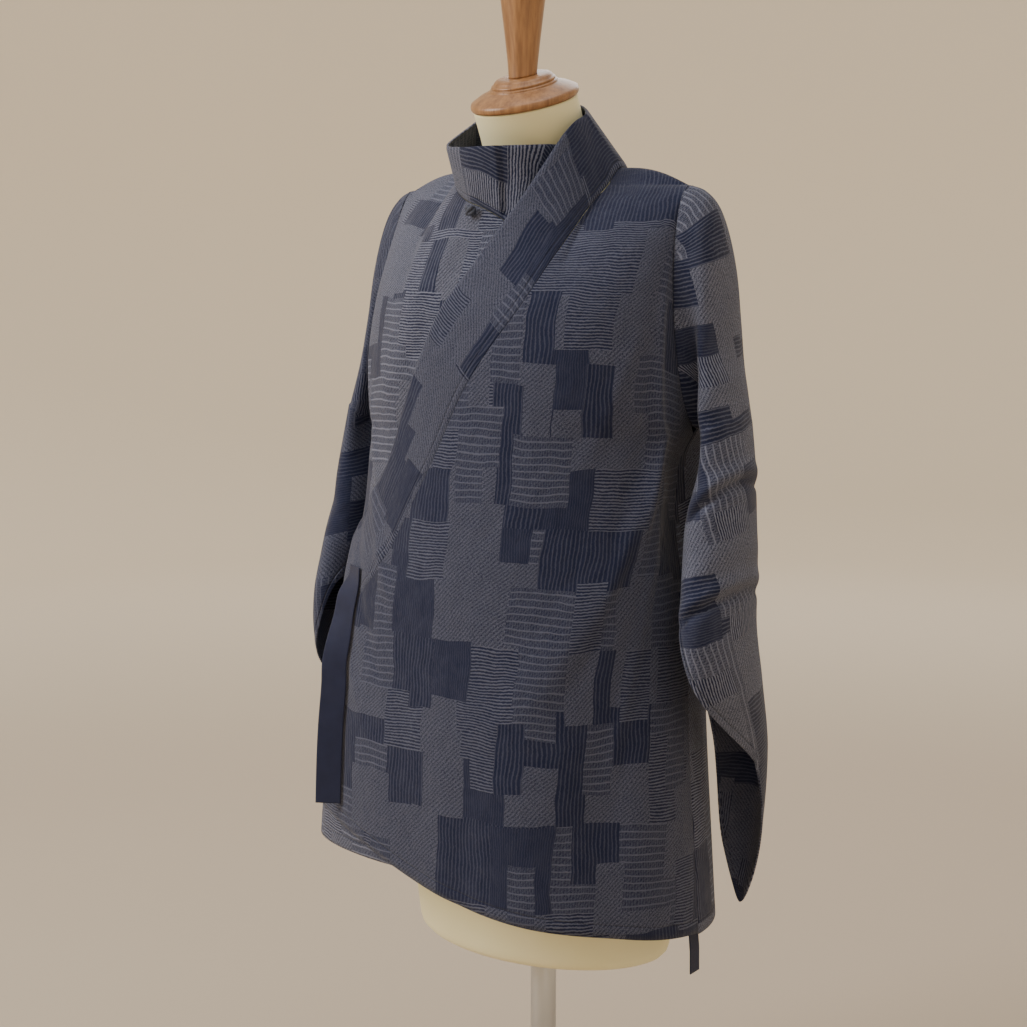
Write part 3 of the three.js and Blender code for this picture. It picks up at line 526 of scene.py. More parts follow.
def collar_half(node, side, sewn_at, free_at, lying_at, material):
    back_columns, front_columns, rows = 34, 150, 22
    beyond = crowded(front_columns, 0.5)
    behind = np.linspace(0, 1, back_columns, endpoint=False)
    x = side * NECK_X * np.sin(math.pi / 2 * behind)
    angle = angle_at(x, NECK_Z)
    level = np.full(len(x), NECK_Z)
    low_back, out_back = body(1, angle, level), body_out(1, angle, level)
    low_front, out_front = sewn_at(beyond)
    low, out_low = np.vstack([low_back, low_front]), np.vstack([out_back, out_front])
    ends = free_at(np.array([0, 0.15]))
    high = np.vstack([back_curve(side, ends[0], ends[1], behind), free_at(beyond)])
    t = crowded(rows, 0.7)[None, :, None]
    width = np.linalg.norm(high - low, axis=-1)[:, None, None]
    start = 2 * SEAM / width
    points = low[:, None] + (high - low)[:, None] * lerp(start, 1, t)
    points[back_columns:] = lying_at(points[back_columns:], beyond)
    points[..., 0] += side * SEAM / 2
    du, dv = np.gradient(points, axis=0), np.gradient(points, axis=1)
    out = unit(np.cross(du, dv)) * -side
    out = unit(lerp(out_low[:, None], out, smooth(t, 0, 0.35)))
    seam = edge_distance(points, ("low",))
    fold = edge_distance(points, ("high",))
    length = distance_along(points, 0, False)
    middle_length = np.median(length, axis=1)[:, None] * np.ones(points.shape[1])
    cut = np.stack([width[..., 0] * t[..., 0] + 300 * side, -middle_length + 200], axis=-1)
    soft = BAND_WAVE * np.sin(middle_length / 37 + 1.3) * np.sin(math.pi * t[..., 0])
    soft = soft * smooth(middle_length, 130, 260)
    shaped = sewn_in(points + out * soft[..., None], out, seam)
    shaped = sewn_in(shaped, out, fold, depth=0.9, width=2.0)
    piece = grid_object(node + "_cloth", shaped, cut, seam, seam + STITCH_FROM_HEM - STITCH_FROM_SEAM)
    thicken(piece, BAND, faces_outward(shaped, out))
    for each in material:
        piece.data.materials.append(each)
    declare(piece, node, shaped)
    return piece


def collar_outer(material):
    def sewn_at(s):
        x, z = read(OUTER_BAND, "sewn_x", s), read(OUTER_BAND, "sewn_z", s)
        angle = angle_at(x, z)
        return body(-1, angle, z), body_out(-1, angle, z)

    def free_at(s):
        return stack(*(read(OUTER_BAND, column, s) for column in "xyz"))

    def lying_at(points, s):
        lies = 1 - smooth(read(OUTER_BAND, "sewn_z", s), BAND_LIES_FROM, BAND_LIES_FROM + 60)
        z = points[..., 2]
        lying = body(-1, angle_at(points[..., 0], z), z)
        return lerp(points, lying, lies[:, None, None])

    return collar_half("collar_outer", 1, sewn_at, free_at, lying_at, material)


def collar_inner(material):
    first = angle_at(-NECK_X, NECK_Z)
    last = np.arccos(INNER_END_X / SHOULDER_X)

    def seam_x(s):
        return SHOULDER_X * np.cos(lerp(first, last, s))

    def sewn_at(s):
        angle, z = lerp(first, last, s), under_top(seam_x(s) + 1e-6)
        out = body_out(-1, angle, z)
        return body(-1, angle, z) - out * under_inset(angle, z)[..., None], out

    def free_at(s):
        return stack(*(read(INNER_BAND, column, seam_x(s)) for column in "xyz"))

    def tucked(points, _):
        # the hidden end of the band steps back under the visible one
        back = 4.5 * smooth(points[..., 0], 13, 17) * smooth(np.linspace(0, 1, points.shape[1]), 0, 0.25)
        return points + back[..., None] * (0, 1, 0)

    return collar_half("collar_inner", -1, sewn_at, free_at, tucked, material)


# ---- Sleeves ----
def level_arcs(points):
    """How far each point of a hanging tube lies from its outside, along the level section through it."""
    heights = np.arange(330, 1096, 5.0)
    upward = points[:, ::-1]
    sections = np.array([[np.interp(heights, line[:, 2], line[:, k]) for k in (0, 1)] for line in upward])
    steps = np.linalg.norm(np.diff(sections, axis=0), axis=1)
    arcs = np.vstack([np.zeros(len(heights)), np.cumsum(steps, axis=0)])
    arcs -= arcs[len(points) // 2]
    return np.array([np.interp(line[:, 2], heights, arc) for line, arc in zip(points, arcs)])


def clear_of_body(points, side):
    x, y, z = (points[..., i] for i in range(3))
    seam = read(BODY, "side", z)
    reach = np.where(y < seam, read(BODY, "front", z), read(BODY, "back", z)) - seam
    sine = np.clip(np.maximum((y - seam) / reach, 0) ** (1 / 0.9), 0, 1)
    body_x = side * read(BODY, "mid", z) + read(BODY, "half", z) * np.sqrt(1 - sine**2)
    clear = SLEEVE_CLEAR * smooth(ARMPIT_Z - z, 0, 40)
    inner = read(SLEEVE, "inner", np.minimum(z, SLEEVE_TOP_Z))
    pushed = body_x + clear + 0.45 * np.maximum(x - inner, 0)
    points[..., 0] = np.where(z > ARMPIT_Z, x, np.maximum(x, pushed))
    return points


def sleeve_folds(side, phi, z):
    height = np.zeros(z.shape)
    for which, outside, inside, width, peak, deepest in SLEEVE_FOLDS:
        if which != side:
            continue
        fold_z = lerp(inside, outside, (1 + np.cos(phi)) / 2)
        around = 0.5 + 0.5 * np.cos(phi - math.radians(deepest))
        height += peak * around * np.exp(-(((z - fold_z) / width) ** 2))
    return height * smooth(np.cos(phi), -0.75, -0.2)


def sleeve_hollow(phi, z):
    along = smooth(HOLLOW_FROM - z, 0, 110) * smooth(z - HOLLOW_TO, 0, 110)
    return HOLLOW_DEPTH * along * np.exp(-(((np.degrees(phi) % 360 - HOLLOW_ANGLE) / HOLLOW_SPREAD) ** 2))


def sleeve(side, material):
    columns = 132
    phi = (math.pi + np.arange(columns) / columns * 2 * math.pi)[:, None]
    v = np.concatenate([CAP_SHARE * crowded(90, 0.5), lerp(CAP_SHARE, 1, crowded(130, 0.4))[1:]])[None, :]
    cos, sin = np.cos(phi), np.sin(phi)
    row = np.minimum(v / CAP_SHARE, 1) * 6
    cap = {name: read(SLEEVE_CAP, name, row) for name in SLEEVE_CAP}
    share = (1 + cos) / 2
    x_cap, z_cap = lerp(cap["inner_x"], cap["outer_x"], share), lerp(cap["inner_z"], cap["outer_z"], share)
    out_cap = sleeve_folds(side, phi, z_cap) * smooth(v, 0.1, 0.25)
    out_cap = out_cap - sleeve_hollow(phi, z_cap) * smooth(v, 0, 0.18)
    y_cap = cap["mid"] - (cap["depth"] + out_cap) * sin
    t = np.maximum(v - CAP_SHARE, 0) / (1 - CAP_SHARE)
    z_tube = lerp(lerp(838, 864, share), read(MOUTH, "z", np.degrees(phi) % 360), t)
    tube = {name: read(SLEEVE, name, z_tube) for name in SLEEVE}
    middle, half = (tube["inner"] + tube["outer"]) / 2, (tube["outer"] - tube["inner"]) / 2
    out = sleeve_folds(side, phi, z_tube) - sleeve_hollow(phi, z_tube)
    hanging = stack(middle + (half + out) * cos, tube["mid"] - (tube["depth"] + out) * sin, z_tube)
    points = np.where((v > CAP_SHARE)[..., None], hanging, stack(x_cap + out_cap * cos, y_cap, z_cap))
    points = clear_of_body(points, side)
    points[..., 0] = side * (points[..., 0] + SEAM)
    ahead, behind = np.roll(points, -1, axis=0), np.roll(points, 1, axis=0)
    out_way = unit(np.cross(ahead - behind, np.gradient(points, axis=1))) * side
    out_way[:, :3, 0] = 0
    out_way = unit(out_way)
    outward = np.sign((out_way * (points - points.mean(axis=0, keepdims=True))).sum())
    out_way *= outward
    seam = edge_distance(points, ("low",))
    hem = edge_distance(points, ("high",))
    around = level_arcs(points)
    over_shoulder = 0.8 * np.maximum(205 - np.abs(points[..., 0]), 0) * smooth(points[..., 2], 1000, 1060)
    along = SHOULDER_Z - points[..., 2] - over_shoulder
    turned = math.radians(SLEEVE_GRAIN * side)
    cut = np.stack([
        along * math.cos(turned) - around * math.sin(turned) + 260 * side,
        along * math.sin(turned) + around * math.cos(turned) + 900,
    ], axis=-1)
    shaped = sewn_in(points, out_way, seam, depth=0.3)
    shaped = shaped + out_way * (0.5 * smooth(STITCH_FROM_HEM - hem, 0, 2))[..., None]
    shaped = sewn_in(shaped, out_way, hem - STITCH_FROM_HEM, depth=0.8, width=1.6)
    name = "sleeve_left" if side > 0 else "sleeve_right"
    piece = grid_object(name + "_cloth", shaped, cut, seam, hem, ring=True)
    thicken(piece, CLOTH, faces_outward(shaped, out_way))
    for each in material:
        piece.data.materials.append(each)
    declare(piece, name, shaped)
    return piece


# ---- Ties and knot ----
TIE_WIDTH, TIE_TOP, TIE_END = 27, 700, 452
TIE_TOP_ANGLE, TIE_END_ANGLE = 126, 122
TIE_HANGS = np.array((-0.85, -0.42, 0))
INNER_TIE_WIDTH, INNER_TIE_TOP, INNER_TIE_END, INNER_TIE_Y = 18, 690, 296, -30
TIE_SLACK = 1.02     # a tie's length along its curve, against its drop


def outer_tie(material):
    v = crowded(90, 0.5)
    z = lerp(TIE_END, TIE_TOP, v)
    angle = np.radians(lerp(TIE_END_ANGLE, TIE_TOP_ANGLE, v))
    out = body_out(-1, angle, z)
    edge = body(-1, angle, z) + out * (2.5 + SEAM)
    level = unit(stack(out[:, 1], -out[:, 0], 0 * z) + 0.14 * out)
    across = unit(lerp(level, TIE_HANGS, smooth(1 - v, 0.05, 0.45)[:, None]))
    face_way = stack(across[:, 1], -across[:, 0], 0 * z)
    u = crowded(10, 0.5)
    wave = (1.6 * np.sin(v * 7 + 0.5) * v * (1 - v) * 4)[None, :] * (u[:, None] - 0.2)
    points = edge[None] + across[None] * (TIE_WIDTH * u)[:, None, None] - face_way[None] * wave[..., None]
    cut = np.stack(np.broadcast_arrays((TIE_WIDTH * u)[:, None], (z - TIE_END)[None, :]), axis=-1)
    return ribbon("tie_outer", points, cut, -face_way[None] + 0 * points, material)


def inner_tie(material):
    v = crowded(90, 0.5)
    z = lerp(INNER_TIE_END, INNER_TIE_TOP, v)
    side = read(BODY, "mid", z) + read(BODY, "half", z) - 2 - 3 * SEAM
    hang = 12 * smooth(1 - v, 0, 0.9) + 0.8 * np.sin(v * 9)
    u = crowded(8, 0.5) - 0.5
    sway = 2.0 * np.sin(v * 5 + 1) * (1 - v)
    across = (INNER_TIE_WIDTH * u)[:, None]
    points = stack((side - hang)[None, :], INNER_TIE_Y + across + sway[None, :], z[None, :])
    cut = np.stack(np.broadcast_arrays(across, (z - INNER_TIE_END)[None, :]), axis=-1)
    out = stack(1 + 0 * points[..., 0], 0, 0)
    return ribbon("tie_inner", points, cut, out, material)


def ribbon(node, points, cut, out, material):
    seam = edge_distance(points, ("left", "right"))
    hem = edge_distance(points, ("low",))
    piece = grid_object(node + "_tape", points, cut, seam, hem)
    thicken(piece, TAPE, faces_outward(points, out))
    piece.data.materials.append(material)
    piece.modifiers["Thickness"].material_offset = 0
    width, length = np.ptp(cut.reshape(-1, 2), axis=0) * (MM, MM * TIE_SLACK)
    area = min(surface_area(points), width * length)
    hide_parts(node)
    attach(piece, "root")
    return piece


def tube(name, centres, radius, sides, closed):
    """A round tube along a curve of points."""
    ahead = np.roll(centres, -1, axis=0) - np.roll(centres, 1, axis=0)
    if not closed:
        ahead[0], ahead[-1] = centres[1] - centres[0], centres[-1] - centres[-2]
    ahead = unit(ahead)
    aside = unit(np.cross(ahead, np.array((0.31, 0.17, 0.93))))
    above = np.cross(ahead, aside)
    turn = np.linspace(0, 2 * math.pi, sides, endpoint=False)
    ring = aside[:, None] * np.cos(turn)[None, :, None] + above[:, None] * np.sin(turn)[None, :, None]
    points = centres[:, None] + ring * radius
    count = len(centres)
    index = np.arange(count * sides).reshape(count, sides)
    ends = np.arange(count if closed else count - 1)
    following = (ends + 1) % count
    turned = np.roll(index, -1, axis=1)
    faces = np.stack([index[ends], turned[ends], turned[following], index[following]], axis=-1).reshape(-1, 4)
    mesh = bpy.data.meshes.new(name)
    mesh.from_pydata((points.reshape(-1, 3) * MM).tolist(), [], faces.tolist())
    mesh.polygons.foreach_set("use_smooth", np.ones(len(mesh.polygons), bool))
    piece = bpy.data.objects.new(name, mesh)
    bpy.context.collection.objects.link(piece)
    return piece


def collar_knot(material):
    """A button knotted from cloth cord: a closed cord that winds round itself."""
    low, high = (np.array(corner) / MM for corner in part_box("collar_knot"))
    centre, radius = (low + high) / 2, (high - low).max() / 2
    t = np.linspace(0, 2 * math.pi, 260, endpoint=False)
    cord = radius * 0.34
    swing = (radius - cord) * (0.72 + 0.28 * np.cos(4 * t))
    loops = stack(swing * np.cos(3 * t), swing * np.sin(3 * t), (radius - cord) * 0.8 * np.sin(4 * t))
    piece = tube("collar_knot_cord", centre + loops, cord, 12, True)
    piece.data.materials.append(material)
    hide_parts("collar_knot")
    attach(piece, "root")


# ---- Dress form, neck block and stand ----
FORM = table(
    "z half front back",
    (285, 146, 98, 86),
    (300, 151, 101, 90),
    (430, 164, 112, 94),
    (530, 156, 105, 90),
    (640, 128, 90, 78),
    (740, 137, 102, 84),
    (835, 150, 126, 92),
    (930, 156, 112, 90),
    (1000, 158, 96, 82),
    (1060, 160, 80, 70),
    (1110, 160, 70, 62),
)
FORM_DROP = 2.5
SHOULDER_START = 1000
NECK_TILT = 0.32
CAP_Y, CAP_Z, CAP_HEIGHT = -37, 1176, 26


def closed_rings(name, rings):
    """A closed solid through rings of points, with a point at each end."""
    count, around = rings.shape[:2]
    points = np.vstack([rings.reshape(-1, 3), rings[0].mean(axis=0), rings[-1].mean(axis=0)])
    index = np.arange(count * around).reshape(count, around)
    turned = np.roll(index, -1, axis=1)
    quads = np.stack([index[:-1], turned[:-1], turned[1:], index[1:]], axis=-1).reshape(-1, 4).tolist()
    first = [[count * around, b, a] for a, b in zip(index[0], turned[0])]
    last = [[count * around + 1, a, b] for a, b in zip(index[-1], turned[-1])]
    mesh = bpy.data.meshes.new(name)
    mesh.from_pydata((points * MM).tolist(), [], quads + first + last)
    mesh.polygons.foreach_set("use_smooth", np.ones(len(mesh.polygons), bool))
    mesh.update()
    piece = bpy.data.objects.new(name, mesh)
    bpy.context.collection.objects.link(piece)
    return piece


def leaning_rings(rows, around=128):
    """Rings from (height, half width, depth, middle, lean) rows."""
    turn = np.linspace(0, 2 * math.pi, around, endpoint=False)
    rings = []
    for z, half, depth, y, lean in rows:
        forward = -depth * np.sin(turn)
        rings.append(stack(half * np.cos(turn), y + forward, z + lean * forward))
    return np.array(rings)


def form_rings():
    turn = np.linspace(0, 2 * math.pi, 160, endpoint=False)
    heights = np.concatenate([[285, 287], np.linspace(292, 1000, 110), np.linspace(1006, 1096, 50)])
    rings = []
    for z in heights:
        under = z + FORM_DROP
        fall = (NECK_Z - SHOULDER_Z) / (SHOULDER_X - NECK_X)
        crest = NECK_X + max(NECK_Z - under, 0) / fall
        half = min(float(read(FORM, "half", z)), crest) - 5 * max(0, 1 - (z - 285) / 4)
        x = half * np.cos(turn)
        rounds = []
        for face, column in ((-1, "front"), (1, "back")):
            depth = read(FORM, column, z) * np.abs(np.sin(turn)) - 5 * max(0, 1 - (z - 285) / 4)
            slack = lerp(0.5, 0.74, smooth(np.abs(x), NECK_X, NECK_X + 40))
            roof = slack * np.abs(body(face, angle_at(x, under), np.full(x.shape, under))[..., 1])
            rounds.append(face * np.maximum(np.minimum(depth, roof) if z > SHOULDER_START else depth, 0))
        rings.append(stack(x, np.where(np.sin(turn) > 0, rounds[0], rounds[1]), z))
    return np.array(rings)


def between(rows, steps):
    """More rows along a smooth curve through the given ones."""
    values = np.array(rows, float)
    at = np.arange(len(values))
    dense = np.linspace(0, len(values) - 1, steps)
    columns = [{"at": at.astype(float), "value": values[:, i]} for i in range(values.shape[1])]
    return np.stack([read(column, "value", dense) for column in columns], axis=-1)


def rigid(piece, node, material):
    piece.data.materials.append(material)
    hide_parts(node)
    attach(piece, "root")


def form(cover):
    bust = closed_rings("form_bust", form_rings())
    rigid(bust, "form_body", cover)
    neck_rows = (
        (1060, 76, 58, -3, 0), (1096, 71, 55, -4, 0), (1108, 65, 54, -7, 0.04), (1122, 58, 53, -12, 0.1),
        (1140, 54.5, 52.5, -20, 0.19), (1175.7, 53, 52, -37, 0.32),
    )
    neck = closed_rings("form_neck", leaning_rings(between(neck_rows, 60)))
    rigid(neck, "form_body", cover)


def neck_block(wood):
    profile = (
        (0, 52), (0.6, 53.6), (2, 54.7), (5, 55), (7.4, 54.2), (8.4, 52.5), (12, 46), (15.5, 36.5),
        (16.4, 34.4), (16.8, 34.6), (17.6, 34.2), (18.2, 32.6), (18.6, 32.0), (19, 32.6), (20.2, 32.7),
        (21, 31.8), (21.6, 30.4), (23.4, 29.6), (25, 27.6), (CAP_HEIGHT, 24),
    )
    rows = [(CAP_Z + h, r, r, CAP_Y - NECK_TILT * h * 0.5, NECK_TILT) for h, r in profile]
    rigid(closed_rings("neck_block", leaning_rings(rows)), "neck_cap", wood)
    foot = CAP_Z + CAP_HEIGHT + SEAM
    y = CAP_Y - NECK_TILT * CAP_HEIGHT * 0.5
    outline = ((0, 14.5, 0.32), (6, 14.9, 0.1), (14, 15.6, 0.02), (40, 18.5, 0), (80, 23.4, 0), (98, 25.6, 0),
               (106, 26, 0), (114, 24.8, 0), (120, 21, 0), (124.5, 15, 0), (127.4, 8, 0), (128, 3, 0))
    rows = between([(foot + h, r, r, y, lean) for h, r, lean in outline], 70)
    rigid(closed_rings("finial", leaning_rings(rows)), "neck_finial", wood)


def stand(wood, steel):
    disc = (
        (0, 161), (0.8, 164.2), (2.4, 165), (13, 165), (15.6, 163.8), (17.4, 160.6), (18, 156), (18, 40),
        (17.99, 2),
    )
    rows = [(h, r, r, 0, 0) for h, r in disc]
    rigid(closed_rings("base_disc", leaning_rings(rows, 160)), "stand_base", wood)
    low, high = (corner[2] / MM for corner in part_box("stand_pole"))
    pole = ((0, 13.6), (0.4, 14), (high - low - 0.4, 14), (high - low, 13.6))
    rows = [(low + h, r, r, 0, 0) for h, r in pole]
    rigid(closed_rings("pole_tube", leaning_rings(rows, 64)), "stand_pole", steel)


# ---- Materials ----
class Shader:
    """A material's nodes, with short ways to add them."""

    def __init__(self, name):
        self.material = bpy.data.materials.new(name)
        self.material.use_nodes = True
        self.tree = self.material.node_tree
        self.bsdf = self.tree.nodes["Principled BSDF"]

    def link(self, value, socket):
        if isinstance(value, bpy.types.NodeSocket):
            self.tree.links.new(value, socket)
        else:
            socket.default_value = value

    def node(self, kind, settings=None, **inputs):
        made = self.tree.nodes.new(kind)
        for key, value in (settings or {}).items():
            setattr(made, key, value)
        for key, value in inputs.items():
            self.link(value, made.inputs[key.replace("_", " ")])
        return made

    def math(self, operation, *values):
        made = self.tree.nodes.new("ShaderNodeMath")
        made.operation = operation
        for value, socket in zip(values, made.inputs):
            self.link(value, socket)
        return made.outputs[0]

    def combine(self, x, y, z=0.0):
        return self.node("ShaderNodeCombineXYZ", X=x, Y=y, Z=z).outputs[0]

    def separate(self, vector):
        made = self.node("ShaderNodeSeparateXYZ", Vector=vector)
        return made.outputs[0], made.outputs[1], made.outputs[2]

    def scaled(self, x, y, z, aside, along):
        """Coordinates scaled one way across the grain and another along it."""
        wide, deep = self.math("MULTIPLY", x, aside), self.math("MULTIPLY", y, aside)
        return self.combine(wide, deep, self.math("MULTIPLY", z, along))

    def noise(self, vector, scale, detail=2.0, rough=0.5):
        made = self.node("ShaderNodeTexNoise", Vector=vector, Scale=scale, Detail=detail, Roughness=rough)
        return made.outputs["Fac"]

    def random(self, x, y, seed):
        place = self.combine(x, y, seed)
        made = self.node("ShaderNodeTexWhiteNoise", {"noise_dimensions": "3D"}, Vector=place)
        return made.outputs["Value"]

    def step(self, value, low, high, out_low=0.0, out_high=1.0):
        made = self.node("ShaderNodeMapRange", {"interpolation_type": "SMOOTHSTEP"}, Value=value)
        ends = {"From Min": low, "From Max": high, "To Min": out_low, "To Max": out_high}
        for key, number in ends.items():
            self.link(number, made.inputs[key])
        return made.outputs[0]

    def mix(self, factor, a, b):
        made = self.node("ShaderNodeMix", {"data_type": "RGBA"})
        self.link(factor, made.inputs[0])
        self.link(a, made.inputs[6])
        self.link(b, made.inputs[7])
        return made.outputs[2]

    def blend(self, factor, a, b):
        return self.math("ADD", a, self.math("MULTIPLY", factor, self.math("SUBTRACT", b, a)))

    def wave(self, value, pitch):
        """A smooth stripe from 0 to 1 with the given pitch."""
        turn = self.math("MULTIPLY", value, 2 * math.pi / pitch)
        return self.math("MULTIPLY_ADD", self.math("SINE", turn), 0.5, 0.5)

    def bump(self, height, distance, strength=1.0, under=None):
        made = self.node("ShaderNodeBump", Height=height, Distance=distance, Strength=strength)
        if under is not None:
            self.link(under, made.inputs["Normal"])
        return made.outputs[0]

    def finish(self, **inputs):
        for key, value in inputs.items():
            self.link(value, self.bsdf.inputs[key.replace("_", " ")])
        return self.material


DARK_YARN = (0.0070, 0.0112, 0.041, 1)
LIGHT_YARN = (0.255, 0.275, 0.375, 1)
TWILL_PITCH = 3.4
# Layers of woven patches: width, height, how much of each layer shows, and its seed
PATCH_LAYERS = ((64.0, 86.0, 1.0, 3.0), (49.0, 58.0, 0.5, 11.0), (29.0, 70.0, 0.24, 23.0))


def patch_kind(s, x, y):
    """A random number for each patch, where later layers lie over earlier ones."""
    kind = None
    for width, height, shows, seed in PATCH_LAYERS:
        row = s.math("FLOOR", s.math("DIVIDE", s.math("ADD", y, seed * 7.3), height))
        shift = s.math("MULTIPLY", s.random(row, 0.5, seed), width)
        column = s.math("FLOOR", s.math("DIVIDE", s.math("ADD", x, shift), width))
        value = s.random(column, row, seed + 1)
        if kind is None:
            kind = value
            continue
        over = s.math("LESS_THAN", s.random(column, row, seed + 2), shows)
        kind = s.blend(over, kind, value)
    return kind


def patchwork(name, darker=1.0):
    s = Shader(name)
    uv = s.node("ShaderNodeUVMap", {"uv_map": "Cut"}).outputs[0]
    place = s.node("ShaderNodeVectorMath", {"operation": "SCALE"}, Vector=uv)
    place.inputs["Scale"].default_value = 1 / MM
    point = place.outputs[0]
    wander = s.node("ShaderNodeTexNoise", Vector=point, Scale=0.016, Detail=2.0)
    drift = s.node("ShaderNodeVectorMath", {"operation": "SUBTRACT"}, Vector=wander.outputs["Color"])
    drift.inputs[1].default_value = (0.5, 0.5, 0.5)
    moved = s.node("ShaderNodeVectorMath", {"operation": "MULTIPLY_ADD"}, Vector=drift.outputs[0])
    moved.inputs[1].default_value = (14, 14, 0)
    s.link(point, moved.inputs[2])
    x, y, _ = s.separate(moved.outputs[0])
    kind = patch_kind(s, x, y)
    fray = s.math("MULTIPLY", s.math("SUBTRACT", s.noise(point, 0.35), 0.5), 1.8)
    wx, wy = s.math("ADD", x, fray), s.math("ADD", y, fray)
    grain = s.noise(s.combine(x, y), 0.9, 3.0, 0.65)

    rising, falling = s.math("ADD", wx, wy), s.math("SUBTRACT", wy, wx)
    slant = s.combine(s.math("MULTIPLY", rising, 0.4), s.math("MULTIPLY", falling, 1.15))
    dashes = s.noise(slant, 1.0, 2.0, 0.6)
    slanted = s.step(s.wave(falling, TWILL_PITCH * 1.41), 0.2, 0.8)
    heather = s.step(s.math("MULTIPLY_ADD", slanted, 0.10, dashes), 0.43, 0.66)
    twill = s.math("MULTIPLY_ADD", heather, 0.62, s.math("MULTIPLY", grain, 0.16))
    ribs = s.blend(s.step(s.wave(wx, 4.0), 0.5, 0.98), 0.012, 0.25)
    bars = s.blend(s.step(s.wave(wy, 3.0), 0.3, 0.75), 0.015, 0.62)
    bars = s.math("MULTIPLY", bars, s.step(grain, 0.2, 0.5, 0.6, 1.05))
    rung = s.step(s.wave(wy, 7.4), 0.8, 0.97)
    tick = s.step(s.wave(s.math("ADD", wx, s.math("MULTIPLY", dashes, 4.0)), 2.6), 0.25, 0.8)
    ticks = s.math("MULTIPLY_ADD", tick, 0.2, s.math("MULTIPLY_ADD", heather, 0.24, 0.02))
    ladder = s.blend(rung, ticks, 0.6)
    fine = s.step(s.wave(wx, 2.5), 0.4, 1.0)
    shade = s.math("MULTIPLY_ADD", fine, 0.12, s.math("MULTIPLY", grain, 0.07))

    light = shade
    for below, pattern in ((0.9, ladder), (0.71, bars), (0.53, twill), (0.19, ribs)):
        light = s.blend(s.math("LESS_THAN", kind, below), light, pattern)
    uneven = s.math("SUBTRACT", s.noise(point, 0.055, 3.0), 0.5)
    light = s.math("ADD", light, s.math("MULTIPLY", uneven, 0.16))
    yarn = s.noise(s.combine(s.math("MULTIPLY", x, 0.7), s.math("MULTIPLY", y, 2.2)), 0.9, 1.0)
    light = s.math("MULTIPLY", light, s.math("MULTIPLY_ADD", yarn, 0.7, 0.65))
    # darker scales the light yarn's share; the wrong side's 0.5 is painted shade
    light = s.math("MINIMUM", s.math("MAXIMUM", s.math("MULTIPLY", light, darker), 0.0), 1.0)
    colour = s.mix(light, DARK_YARN, LIGHT_YARN)

    hem = s.node("ShaderNodeAttribute", {"attribute_name": "hem"}).outputs["Fac"]
    seam = s.node("ShaderNodeAttribute", {"attribute_name": "seam"}).outputs["Fac"]
    stitch = s.math("COMPARE", hem, STITCH_FROM_HEM, 0.55)
    sewn = s.math("GREATER_THAN", s.wave(s.math("ADD", x, y), 4.4), 0.25)
    thread = s.math("MULTIPLY", stitch, sewn)
    # painted shade: within 1.6 mm of a seam the cloth's colour is darkened, down to three quarters at the
    # seam itself, for the shade in the seam's groove
    shadow = s.step(seam, 0.0, 1.6, 0.75, 1.0)
    colour = s.mix(s.math("MULTIPLY", thread, 0.6), colour, (0.012, 0.014, 0.035, 1))
    seam_shaded_colour = s.node("ShaderNodeVectorMath", {"operation": "SCALE"}, Vector=colour)
    s.link(shadow, seam_shaded_colour.inputs["Scale"])

    weave = s.math("MULTIPLY", s.wave(wx, 1.3), s.wave(wy, 1.3))
    groove = s.step(s.math("ABSOLUTE", s.math("SUBTRACT", hem, STITCH_FROM_HEM)), 0.0, 1.8)
    height = s.math("ADD", s.math("MULTIPLY", light, 0.9), s.math("MULTIPLY", weave, 0.18))
    height = s.math("ADD", height, s.math("MULTIPLY", groove, 0.8))
    crinkle = s.noise(s.combine(x, s.math("MULTIPLY", y, 0.6)), 0.05, 3.0, 0.6)
    broad = s.bump(crinkle, 0.006, 0.45)
    normal = s.bump(height, 0.0009, 0.9, under=broad)
    return s.finish(
        Base_Color=seam_shaded_colour.outputs[0], Roughness=0.88, Normal=normal,
        Sheen_Weight=0.16, Sheen_Roughness=0.5, Specular_IOR_Level=0.22,
    )


def tape():
    s = Shader("Navy_tape")
    uv = s.node("ShaderNodeUVMap", {"uv_map": "Cut"}).outputs[0]
    x, y, _ = s.separate(uv)
    weave = s.math("MULTIPLY", s.wave(x, 0.0011), s.wave(y, 0.0008))
    blotch = s.noise(uv, 60.0, 3.0)
    colour = s.mix(blotch, (0.007, 0.010, 0.036, 1), (0.016, 0.022, 0.066, 1))
    normal = s.bump(weave, 0.0002, 0.7)
    return s.finish(
        Base_Color=colour, Roughness=0.7, Normal=normal, Sheen_Weight=0.12, Specular_IOR_Level=0.3,
    )


def cord_cloth():
    s = Shader("Navy_cord")
    here = s.node("ShaderNodeTexCoord").outputs["Object"]
    thread = s.noise(here, 1400.0, 2.0)
    colour = s.mix(thread, (0.014, 0.019, 0.045, 1), (0.11, 0.125, 0.17, 1))
    return s.finish(Base_Color=colour, Roughness=0.75, Normal=s.bump(thread, 0.0003, 0.8))


COVER_THREAD = 0.0009


def cover_cloth():
    s = Shader("Form_cover")
    here = s.node("ShaderNodeTexCoord").outputs["Object"]
    x, y, z = s.separate(here)
    around = s.math("ARCTAN2", y, x)
    across = s.wave(s.math("MULTIPLY", around, 0.06), COVER_THREAD)
    weave = s.math("MULTIPLY", across, s.wave(z, COVER_THREAD))
    blotch = s.noise(here, 14.0, 4.0)
    colour = s.mix(blotch, (0.93, 0.86, 0.51, 1), (0.95, 0.89, 0.59, 1))
    normal = s.bump(weave, 0.00015, 0.5)
    return s.finish(
        Base_Color=colour, Roughness=0.72, Normal=normal, Sheen_Weight=0.1, Specular_IOR_Level=0.3,
    )


